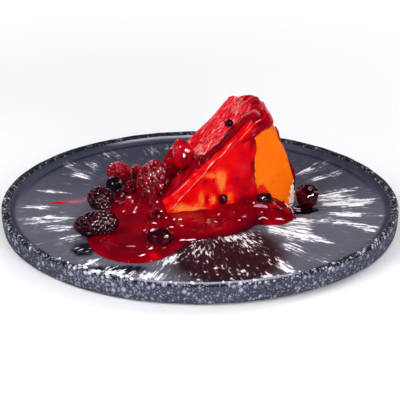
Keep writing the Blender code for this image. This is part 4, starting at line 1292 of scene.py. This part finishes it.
def compound_berry(name, slot, skin, half_sizes, turns, count, melt, seed):
    """A berry of drupelets: the outermost of many spheres along each ray from its middle."""
    order = np.roll((0, 1, 2), -int(np.argmax(half_sizes)))
    sizes = np.array(half_sizes)[order] * MM
    spots, out = ellipsoid_spots(sizes, count, seed)
    draw = np.random.default_rng(seed + 1)
    drupelet = OVERLAP * math.sqrt(ellipsoid_area(sizes) / (count * CELL_AREA))
    radii = drupelet * draw.uniform(0.88, 1.10, count)
    centres = spots - out * (radii * draw.uniform(0.98, 1.10, count))[:, None]
    rays = berry_rays(*(FINE_GRID if max(sizes) > BIG_BERRY else COARSE_GRID), sizes)
    length = np.linalg.norm(rays, axis=-1)
    direction = rays / length[..., None]
    along = direction @ centres.T
    inside = radii ** 2 - (np.sum(centres ** 2, axis=1) - along ** 2)
    hits = np.where(inside > 0.0, along + np.sqrt(np.maximum(inside, 0.0)), 0.0)
    floor = CLEFT_END * length
    soft = np.log(np.sum(np.exp((hits - floor[..., None]) / melt), axis=-1) + 1.0) * melt + floor
    grain = BARE_GRAIN if slot == "bramble" else SAUCY_GRAIN
    soft += grain * waves(rays, 0.0016, seed + 2)
    places = (direction * soft[..., None])[..., np.argsort(order)] @ spin(turns).T
    # how deep the skin lies, for the painted shade in the clefts
    cleft = (length - soft) / (radii.mean() * CLEFT_FULL)
    tone = draw.uniform(0.0, 1.0, count)[np.argmax(hits, axis=-1)]
    return add_berry(name, slot, skin, middle_of(name) + places, cleft, tone)


# flats of the coated berry: direction right, up and towards the view, and their distance
CHUNK_FLATS = (
    (-0.81, 0.586, 0, 7.6), (-0.62, 0.40, 0.68, 7.4), (0.40, 0.917, 0, 9.4), (0.872, 0.489, 0, 9.3),
    (0.874, -0.486, 0, 10.2), (0.64, -0.768, 0, 10.4), (-0.31, -0.95, 0, 9),
    (0.15, 0.25, 0.95, 7.6), (-0.2, -0.55, 0.81, 8), (0.6, -0.1, 0.79, 8.4), (0, 0.1, -1, 7.6),
    (-0.6, 0.1, -0.79, 8.6), (0.6, 0.1, -0.79, 8.6),
)
CHUNK_SHARP = 9.0                  # the higher, the sharper the flats meet
CHUNK_BULGE, CHUNK_ROUGH = 0.0011, 0.0003  # height of its drupelets and of its unevenness


def coated_berry(name, slot, skin, count, seed):
    """A berry under a coat of sauce: a rounded block of flats with low drupelets on it."""
    cos, sin = math.cos(CAMERA_TILT), math.sin(CAMERA_TILT)
    view = np.array(((1.0, 0.0, 0.0), (0.0, cos, sin), (0.0, -sin, cos)))
    flats = np.array(CHUNK_FLATS)
    facing = unit(flats[:, :3] @ view)
    rays = berry_rays(130, 151)
    push = np.maximum(rays @ facing.T, 0.0) / (flats[:, 3] * MM)
    reach = np.sum(push ** CHUNK_SHARP, axis=-1) ** (-1.0 / CHUNK_SHARP)
    spots, _ = ellipsoid_spots((1.0, 1.0, 1.0), count, seed)
    closest = np.min(np.arccos(np.clip(rays @ spots.T, -1.0, 1.0)), axis=-1)
    spread = 2.1 / math.sqrt(count)
    bulge = np.sqrt(np.clip(1.0 - (closest / (spread * 1.25)) ** 2, 0.0, 1.0))
    soft = 0.5 + 0.5 * waves(rays, 1.3, seed + 1)
    reach = reach + (bulge - 0.8) * CHUNK_BULGE * np.clip(soft, 0.2, 1.0)
    reach = reach + CHUNK_ROUGH * waves(rays, 0.7, seed + 2)
    # painted shade between the low drupelets
    cleft = np.clip((0.70 - bulge) * 1.8, 0.0, 1.0) * np.clip(soft, 0.1, 1.0)
    tone = 0.5 + 0.45 * waves(rays, 1.0, seed + 3) + 0.35 * rays[..., 0]
    places = middle_of(name) + rays * reach[..., None]
    return add_berry(name, slot, skin, places, cleft, tone)


def smooth_berry(name, slot, skin, half_sizes, turns, wrinkle, seed):
    """A smooth berry: an ellipsoid with shallow wrinkles and a small dimpled crown at one end."""
    middle = middle_of(name)
    rays = berry_rays(72, 97)
    crown = unit(np.array((math.sin(seed * 1.7), -0.55 + 0.3 * math.sin(seed), 0.55)))
    angle = np.arccos(np.clip(rays @ crown, -1.0, 1.0))
    wrinkles = wrinkle * np.abs(waves(rays, 1.1, seed))
    relief = 1.0 - wrinkles + 0.25 * wrinkle * waves(rays, 0.45, seed + 1)
    relief += 0.05 * mound(angle - 0.26, 0.07) - 0.09 * mound(angle, 0.17)
    places = middle + (rays * relief[..., None] * np.array(half_sizes) * MM) @ spin(turns).T
    # painted shade in the crown's dimple and in the wrinkles
    cleft = 0.8 * mound(angle, 0.2) + np.clip(wrinkles * 6.0, 0.0, 0.7)
    tone = 0.5 + 0.4 * waves(rays, 1.6, seed + 3)
    # lighter towards the bottom: a painted glow of light through the skin
    tone = tone + 0.5 * smooth_step(places[..., 2], middle[2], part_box(name)[0].z)
    return add_berry(name, slot, skin, places, cleft, tone)


# name, slot, skin, half sizes, turns, drupelets, how far the sauce fills the clefts
COMPOUND_BERRIES = (
    ("bramble_front", "bramble", "bramble", (15, 9.2, 8.9), (0, -3, 12), 190, 0.04),
    ("bramble_back", "bramble", "bramble", (9.6, 9.2, 8.9), (0, 20, 40), 140, 0.04),
    ("raspberry_tall", "raspberry", "ripe_raspberry", (10.3, 10.2, 14.6), (-10, 20, 0), 300, 0.26),
    ("raspberry_left", "raspberry", "raspberry", (9.6, 8, 7.8), (0, 10, -14), 120, 0.14),
    ("raspberry_rear", "raspberry", "raspberry", (4.9, 5, 5.1), (0, 0, 20), 40, 0.10),
    ("raspberry_low", "raspberry", "steeped_berry", (6.4, 5.8, 7), (0, 20, 30), 84, 0.20),
)
# name, slot, skin, half sizes, turns, depth of the wrinkles as a share
SMOOTH_BERRIES = (
    ("dark_berry_left", "dark_berry", "black_berry", (5.9, 5.8, 5.7), (0, 0, 0), 0.02),
    ("dark_berry_small", "dark_berry", "dark_berry", (4.2, 4.2, 4.2), (0, 0, 0), 0.03),
    ("dark_berry_pool", "dark_berry", "dark_berry", (8.9, 7.6, 6.2), (0, 0, -8), 0.035),
    ("dark_berry_right", "dark_berry", "dark_berry", (8.4, 8.2, 8.8), (0, 0, 0), 0.06),
    ("dark_berry_rear", "dark_berry", "dark_berry", (4, 4, 4), (0, 0, 0), 0.03),
    ("dark_berry_foot", "dark_berry", "black_berry", (5.8, 5.8, 5.8), (0, 0, 0), 0.08),
    ("currant_front", "dark_berry", "dark_berry", (3.1, 2.9, 3.7), (0, 14, 8), 0.03),
    ("currant_top", "dark_berry", "dark_berry", (3.2, 3, 2.7), (0, 0, 8), 0.05),
    ("currant_left", "currant", "currant", (4.6, 4.4, 4.3), (0, 0, 0), 0.05),
    ("currant_tip", "currant", "steeped_berry", (5, 4.8, 4.8), (0, 0, 0), 0.03),
)
# the berries that stand in the pool
IN_POOL = (
    "bramble_front", "bramble_back", "raspberry_tall", "raspberry_low", "dark_berry_small",
    "dark_berry_pool", "dark_berry_foot", "currant_left", "currant_tip",
)
SHORE_REACH = 0.42                 # of a berry's width, at the level of the pool


def berry_shores():
    """Where the sauce climbs on the berries that stand in it: middle and reach at its level."""
    shores = []
    for low, high in map(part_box, IN_POOL):
        size = high - low
        shores.append(((low + high) / 2, SHORE_REACH * min(size.x, size.y)))
    return shores


def build_berries():
    """All berries, in the order of their tables."""
    berries = [coated_berry("raspberry_slope", "raspberry", "sauce_coated", 64, 170)]
    for order, (*values, melt) in enumerate(COMPOUND_BERRIES):
        berries.append(compound_berry(*values, melt * MM, 100 + 7 * order))
    for order, values in enumerate(SMOOTH_BERRIES):
        berries.append(smooth_berry(*values, 200 + 11 * order))
    return berries


# ==== small pieces ============================================================================
def crust_line(points, lift):
    """Places and outward directions on the slice's crust at (s in mm, degrees) points."""
    line = smooth_line(points, 60)
    run, theta = crust_run_at(line[:, 0] * MM), np.radians(line[:, 1])
    normal = section_normal(run, theta)
    return on_plate(section_point(run, theta) + normal * lift), turned(normal)


def tapered(count, middle):
    """Widths along a bead: round at both ends, and the given value between them."""
    along = np.linspace(-1.0, 1.0, count)
    return middle * np.sqrt(np.clip(1.0 - along ** 4, 0.0, 1.0))


def blob_grids(rows, seed):
    """Closed uneven ellipsoids, from rows of place, half sizes, turns and depth mark."""
    rays = berry_rays(26, 37)
    grids = []
    for order, (place, half_sizes, turns, depth) in enumerate(rows, seed):
        reach = 1.0 + 0.10 * waves(rays, 1.2, order) + 0.05 * waves(rays, 0.6, order + 1)
        shape = (rays * reach[..., None] * np.array(half_sizes) * MM) @ spin(turns).T
        grids.append(with_marks(np.array(place) + shape, depth))
    return grids


def bead_grid(line, width, share, out, depth):
    """A bead with tapered ends along a line; its height is a share of its width."""
    bead = tapered(len(line), width * MM)
    return rope_grid(line, bead, bead * share, out, depth)


# lumps of pulp in the sauce: x, y, half sizes, turn and depth mark
PULP_LUMPS = (
    (-53, -3, 3.2, 2.2, 2, 20, 0.90), (-49, 1.5, 3.6, 2.4, 2.4, -30, 0.94),
    (-47.5, -11, 4.2, 1.6, 1.6, 15, 0.72), (-40, 4, 3.4, 2.6, 3.4, 50, 0.92),
    (-37.5, -10, 3.2, 2.2, 2.6, 80, 0.90), (-43, -15.5, 3.4, 1.3, 1.5, 35, 0.78),
    (-33, -16, 2.6, 1.8, 2.6, 110, 0.92), (-29, -21, 2.4, 1.6, 2.4, 70, 0.90),
    (-56, -9, 2.6, 1.5, 1.6, -10, 0.95), (-45, -81, 4, 2, 0.8, 30, 0.93),
    (47, -26, 5.5, 1.8, 1.4, -12, 0.70), (30, -30.5, 3, 1.8, 1.3, 30, 0.68),
    (20, -33, 1.8, 1.2, 1.3, -40, 0.88), (52, -19, 4.5, 2.2, 1.6, 20, 0.84),
    (57.5, -24, 3.6, 2.4, 1.4, -40, 0.74), (36, -21, 3.4, 2, 1.6, 10, 0.86),
    (24, -24.5, 3, 1.8, 1.3, 35, 0.90), (13, -36, 2.8, 1.6, 1.2, -20, 0.92),
    (40, -31.5, 3, 1.5, 1.3, 5, 0.80), (31, -18, 2.6, 1.7, 1.5, -30, 0.90),
    (3, -43, 2.2, 1.4, 1.1, 40, 0.92), (-22, -44, 2.6, 1.8, 1.4, 60, 0.96),
)
# lumps of sauce at the foot of the berry on the slope: back, up the cut, half sizes, turn
SLOPE_LUMPS = (
    (30, 20, 4.5, 3, 2.2, 20), (27, 27, 4, 3, 2.2, -20), (22, 31.5, 3.4, 2.2, 2.2, 30),
    (31, 13, 4.2, 3, 2.2, 0), (24, 22, 3, 2.4, 2.2, 50), (37, 22, 5.5, 4.5, 3.6, 20),
    (34, 30, 5, 4, 2.6, 40), (40, 14, 5.5, 4.5, 3, 0), (30, 36, 4, 3, 2.2, 10),
    (45, 21, 5, 4.6, 4.2, 10), (46, 28, 5, 4, 3.4, -15), (52, 20, 4.4, 4.2, 3, 30),
    (38, 18.5, 4.2, 3.6, 4.6, 60), (49, 24, 3.2, 3, 3.8, 0),
)
# scraps of fruit skin in the sauce, pale pink by a painted reflection of the sky: x, y, half sizes
# and turn
SCRAPS = (
    (-44.5, -77, 3.6, 1.1, 0.7, 8), (-55.5, -5, 2.8, 1.6, 1.2, -25),
    (40.5, -27.2, 4.2, 1.2, 1.2, -14), (29, -33, 1.8, 1.2, 1, 20),
)
# painted glints along thin wet edges: points (x, y) on the sauce, and the half width
GLINTS = (
    (((26, -15), (29.5, -14.2), (33, -12.6)), 0.42),
    (((38.5, -33.9), (41.5, -33.2), (45, -33.9)), 0.50),
    (((52, -33.8), (55.5, -32.6), (59, -29.6)), 0.42),
    (((57, -17.5), (60.6, -21), (62.3, -24.6)), 0.40),
    (((-53.6, -8.6), (-51.4, -4), (-49, -1.4)), 0.40),
    (((-45, -25.5), (-43.2, -18.5), (-41, -12.5)), 0.40), (((-42.6, -91.4), (-41, -91.2)), 0.60),
    (((-38, -90.6), (-33.8, -88.6)), 0.62), (((-30.9, -80.4), (-30, -77.2)), 0.62),
)
# the same in the puddle under the right berry
PUDDLE_GLINTS = (
    (((63.4, -8.6), (66, -10.4), (68.4, -10.8)), 0.40), (((65.2, -13.6), (68, -14.6)), 0.45),
)
# and on the slice's upper cut: points (back, up), the half width and the height over it
CUT_GLINTS = (
    (((35, 17), (33, 14), (30.5, 11), (28.5, 8.4), (24.7, 6.4)), 0.45, 2.2),
    (((10.9, 12.5), (9.8, 18), (9, 24), (8.4, 30)), 0.22, 1.6),
    (((7.9, 33.5), (7, 39), (5.2, 44.5), (3.2, 50)), 0.22, 1.6),
)
# pale pips in the sauce, their colour a painted glint: x, y, turn and half length
PIP_GLINTS = (
    (-29, -10, 70, 1.5), (-26.7, -25.4, 20, 1.6), (-32, -29, -20, 1.4), (-30, -42, -15, 1.7),
    (-22, -50, 30, 1.3), (-22.5, -33, 60, 1.5), (-17, -34, 65, 1.3), (-13, -34, 30, 1.4),
    (-19, -47, 5, 1.5), (-12, -45, 10, 1.3), (-25, -75, 10, 1.7), (-31, -80.5, 30, 1.6),
    (-6, -64, 12, 3.2), (-11, -66.3, 14, 2.2), (12.5, -27, 60, 1.2), (10.5, -38, -30, 1.1),
    (26, -37, 10, 1), (31, -13, 5, 2.2), (27, -13.6, 12, 1.6), (40.5, -31, 25, 1.4),
    (52, -33.3, 8, 2), (-36.5, -90.2, 12, 2.2), (-43, -91.5, 5, 1.6), (-51, -21, 60, 1.5),
    (-43.5, -27, 20, 1.1), (-36, -52, 40, 0.8),
)
# bright specks on the rim's front, partly white glaze and partly painted glints: direction,
# distance out and half size
RIM_SPECK_GLINTS = (
    (-124, 130.9, 1), (-122, 131.4, 1.5), (-118.9, 132.9, 1.7), (-117.6, 131.9, 1.8),
    (-114.9, 132.6, 1.6), (-111.8, 131.4, 1), (-110.6, 132.5, 1.4), (-109.4, 131.2, 1.3),
    (-107.9, 133.2, 1.2), (-92, 132.6, 1.2), (-104, 132, 0.8), (-97.5, 132.8, 0.7),
    (-84, 132.2, 0.7), (-127.5, 132.4, 0.8), (-131, 131.6, 0.7), (-76, 132.6, 0.8), (-63, 132, 0.7),
)
# lines of beads: on the crust as (s, degrees), and the stem beside the right berry as x, y, z
# the lip's bead is a painted highlight along the crease
LIP_HIGHLIGHT_BEAD = ((0.8, 47.3), (2.5, 47.0), (5, 45.3), (7.5, 44.2), (11, 43.4))
THREAD = ((17, 35.5), (16.5, 33.5), (14.5, 31.5), (13.5, 29.0))
DRIP_BEHIND = (
    (33, 40), (30, 33), (25, 26), (21.8, 19), (20.2, 13.5), (19.6, 9), (20, 5), (20.5, 1.5),
)
STEM = ((57, -7.6, 10), (60, -7, 11.4), (63, -6.4, 12.3), (66.8, -6, 13.9))
PULP_SINK, SCRAP_SINK = 0.0006, 0.0004     # pulp and scraps lie deeper in the sauce than pips
SPECK_SINK, SPECK_HEIGHT = 0.00025, 0.85   # the height is in millimetres, like the sizes
PIP_SIZES = (0.48, 0.45)
BLOB_DEPTHS = {"slope": 0.88, "pips": 0.3, "scraps": 0.5, "specks": 0.5}


def pip_level(x, y):
    """Height of the sauce's skin near its edge, for the pips that lie on it."""
    near = np.interp(x, POOL_FRONT[:, 0], POOL_FRONT[:, 1])
    return rounded_shore(pool_level(x, y), np.clip((y - near) / POOL_EDGE, 0.0, 1.0))


def in_sauce(x, y, level, sink=0.0):
    """A place in or on the pool, from x and y in millimetres."""
    return x * MM, y * MM, FLOOR_Z - sink + level(x * MM, y * MM)


def build_ropes():
    """Beads painted as highlights along the slice's front edge and its lip, a thread and a drip
    down the crust.
    """
    up = np.linspace(0.0075, 0.0770, 90)
    edge = np.stack((up * CUT_COS, 0.0 * up, up * CUT_SIN), -1)
    edge += 0.0003 * np.stack((waves(edge, 0.02, 61), 0.0 * up, waves(edge, 0.016, 62)), -1)
    lean = unit(np.array((-0.55, -0.62, 0.55)))
    glaze, marks = BEADS["highlight_bead_glaze"], ("depth",)
    grid = bead_grid(on_plate(edge + lean * 0.0007), 0.42, 1.1, turned(lean), 0.22)
    build_piece("highlight_bead", [grid], marks, glaze, "sauce")
    path, out = crust_line(LIP_HIGHLIGHT_BEAD, 0.0018)
    grid = bead_grid(path, 0.42, 1.1, out, 0.22)
    build_piece("highlight_bead_on_lip", [grid], marks, glaze, "sauce")
    path, out = crust_line(THREAD, 0.0006)
    build_piece("sauce_thread", [bead_grid(path, 0.5, 2.0, out, 0.7)], marks, SAUCE, "sauce")
    path, out = crust_line(DRIP_BEHIND, 0.0001)
    along = np.linspace(0.0, 1.0, len(path))
    swell = mound(along - 0.60, 0.14) + 0.35 * smooth_step(along, 0.60, 0.70)
    swell = np.clip(swell, 0.0, 1.0)
    drip = tapered(len(path), 0.0023) * (0.40 + 0.60 * swell)
    grid = rope_grid(path, drip, drip * (0.45 + 0.75 * swell), out, 0.88)
    build_piece("sauce_drip_behind", [grid], marks, SAUCE, "sauce")


def glint_grids():
    """Thin beads of painted glint on the pool, in the puddle and on the upper cut."""
    grids = []
    for table, height in ((GLINTS, None), (PUDDLE_GLINTS, 0.0010)):
        for points, width in table:
            x, y = smooth_line(points, 24).T * MM
            level = pip_level(x, y) if height is None else height + 0.0 * x
            line = np.column_stack((x, y, FLOOR_Z + DROP_LIFT + level))
            grids.append(bead_grid(line, width, 0.7, UPRIGHT, 0.3))
    for points, width, height in CUT_GLINTS:
        back, up = smooth_line(points, 30).T * MM
        line = on_plate(cut_point(back, up) + CUT_OUT * height * MM)
        grids.append(bead_grid(line, width, 1.0, turned(CUT_OUT), 0.3))
    return grids


def build_details():
    """Beads, puddles, pulp, pips and scraps of the sauce, its glints, rim specks and the stem."""
    build_ropes()
    smear = ((-0.0975, 0.0018), (0.0062, 0.0017), 0.0005, 0.60, SAUCE, 0.05, 51)
    # the puddle under the right berry is painted near black: its shade and dark reflection
    puddle = ((0.0685, -0.0098), (0.0105, 0.0084), 0.0009, 1.0, FRUITS["black_berry"], 0.1, 52)
    build_puddle("sauce_smear", *smear)
    build_puddle("puddle_and_shade", *puddle)
    pulp = blob_grids([
        (in_sauce(x, y, pool_level, PULP_SINK), sizes, (0, 0, turn), depth)
        for x, y, *sizes, turn, depth in PULP_LUMPS
    ], 70)
    cut_turn = -math.degrees(SLICE_ANGLE)
    pulp += blob_grids([
        (on_plate(cut_point(back * MM, up * MM)), sizes, (0, cut_turn, turn), BLOB_DEPTHS["slope"])
        for back, up, *sizes, turn in SLOPE_LUMPS
    ], 90)
    pips = blob_grids([
        (in_sauce(x, y, pip_level), (half_long, *PIP_SIZES), (0, 0, turn), BLOB_DEPTHS["pips"])
        for x, y, turn, half_long in PIP_GLINTS
    ], 120)
    scraps = blob_grids([
        (in_sauce(x, y, pool_level, SCRAP_SINK), sizes, (0, 0, turn), BLOB_DEPTHS["scraps"])
        for x, y, *sizes, turn in SCRAPS
    ], 150)
    rim = [math.radians(degrees) for degrees, _, _ in RIM_SPECK_GLINTS]
    specks = blob_grids([
        ((radius * MM * math.cos(turn), radius * MM * math.sin(turn), PLATE_HEIGHT - SPECK_SINK),
         (size, size, SPECK_HEIGHT), (0, 0, degrees), BLOB_DEPTHS["specks"])
        for turn, (degrees, radius, size) in zip(rim, RIM_SPECK_GLINTS)
    ], 180)
    stem = bead_grid(smooth_line(STEM, 40) * MM, 0.42, 1.2, UPRIGHT, 0.9)
    for name, grids, material, slot in (
        ("sauce_pulp", pulp, SAUCE, "sauce"),
        ("sauce_pip_glints", pips, BEADS["pip_glint_skin"], "sauce"),
        ("scraps_with_sheen", scraps, BEADS["scrap_sheen_skin"], "sauce"),
        ("sauce_glints", glint_grids(), BEADS["painted_glint"], "sauce"),
        ("speck_glints", specks, BEADS["speck_glint"], "stoneware"),
        ("berry_stem", [stem], BEADS["stem_skin"], "dark_berry"),
    ):
        build_piece(name, grids, ("depth",), material, slot)


# ==== stage ===================================================================================
WHITE, ROSE, PINK, LILAC = (1.0, 1.0, 1.0), (1.0, 0.84, 0.88), (1.0, 0.84, 0.90), (0.96, 0.86, 1.0)
GROUND_REACH = 6.0
LIGHTS_AIM = (0.0, 0.0, 0.03)
# lights: name, place, size, power, whether it is seen only in the shiny skins, and tint
LIGHTS = (
    ("soft_top", (0.15, 0.15, 1.10), (0.90, 0.90), 2.0, False, WHITE),
    ("soft_left", (-0.72, -0.30, 0.80), (0.60, 0.60), 7.5, False, WHITE),
    ("soft_front", (0.45, -1.00, 0.40), (0.70, 0.50), 7.0, False, WHITE),
    ("soft_back", (0.55, 0.55, 0.75), (0.30, 0.30), 3.0, False, WHITE),
    ("window_right", (0.62, -0.75, 0.45), (0.34, 0.15), 42.0, True, ROSE),
    ("window_left", (-0.62, -0.62, 0.52), (0.14, 0.20), 6.0, True, PINK),
    ("rim_right", (0.66, 0.82, 0.16), (0.30, 0.40), 1.6, True, WHITE),
    ("rim_berries", (-0.36, 0.92, 0.36), (0.50, 0.16), 3.0, True, LILAC),
)


def add_area_light(name, place, size, power, mirrored, tint):
    """A rectangular light on the object: soft fill alone, or seen only in the shiny skins."""
    lamp = bpy.data.lights.new(name, "AREA")
    lamp.shape = "RECTANGLE"
    lamp.size, lamp.size_y = size
    lamp.energy = power
    lamp.color = tint
    holder = show_object(name, lamp)
    holder.location = place
    toward = np.array(LIGHTS_AIM) - np.array(place)
    yaw = math.atan2(toward[1], toward[0]) - math.pi / 2
    pitch = math.atan2(toward[2], math.hypot(toward[0], toward[1]))
    holder.rotation_euler = (math.pi / 2 + pitch, 0.0, yaw)
    holder.visible_glossy = mirrored
    holder.visible_diffuse = not mirrored
    return holder


def build_floor():
    """A plain pale floor that fades into the white surround."""
    mesh = bpy.data.meshes.new("pale_floor")
    corners = np.array(((-1, -1, 0), (1, -1, 0), (1, 1, 0), (-1, 1, 0))) * GROUND_REACH
    mesh.from_pydata(corners, (), [(0, 1, 2, 3)])
    look = Look("pale_floor_paint", Roughness=0.9, Specular_IOR_Level=0.1, Emission_Color=WHITE)
    path = look.node("LightPath").outputs
    fade = look.rise(look.vector("LENGTH", look.place()), 0.15, 0.60)
    fade = look.times(fade, path["Is Camera Ray"])
    tint = look.mix(look.noise(3.0, 2.0), (0.90, 0.90, 0.91), (0.93, 0.93, 0.94))
    tint = look.paint(tint, (path["Is Glossy Ray"], (0.10, 0.10, 0.11)), (fade, (0.0, 0.0, 0.0)))
    look.show(Base_Color=tint, Emission_Strength=fade)
    mesh.materials.append(look.material)
    floor = show_object("pale_floor", mesh)


def build_world():
    """A white surround for the view, grey for the fill and nearly black for the mirrors."""
    world = bpy.data.worlds.new("studio")
    world.use_nodes = True
    shading = Shading(world.node_tree)
    background = shading.tree.nodes["Background"].inputs
    path = shading.node("LightPath").outputs
    around = shading.paint(
        (0.26, 0.265, 0.28), (path["Is Glossy Ray"], (0.03, 0.03, 0.035)),
        (path["Is Camera Ray"], WHITE),
    )
    shading.put(around, background["Color"])
    background["Strength"].default_value = 1.0
    bpy.context.scene.world = world


def build_stage(berries):
    """Floor, surround, lights and the photo's camera; the last light falls on the berries only."""
    build_floor()
    build_world()
    holders = [add_area_light(*values) for values in LIGHTS]
    lit = bpy.data.collections.new("rim_berries_on")
    for piece in berries:
        lit.objects.link(piece)
    holders[-1].light_linking.receiver_collection = lit

    lens = bpy.data.cameras.new("photo_view")
    lens.lens = CAMERA_LENS
    lens.sensor_width = 36.0
    lens.sensor_fit = "HORIZONTAL"
    lens.clip_start = 0.01
    camera = show_object("photo_view", lens)
    camera.location = CAMERA_PLACE
    camera.rotation_euler = (CAMERA_TILT, 0.0, 0.0)
    scene = bpy.context.scene
    scene.camera = camera
    scene.view_settings.view_transform = "Standard"
    scene.view_settings.look = "None"


# ==== assembly ================================================================================
build_plate()
build_cake()
build_film()
build_blanket()
build_pool(berry_shores())
fruit_pieces = build_berries()
build_details()
build_stage(fruit_pieces)
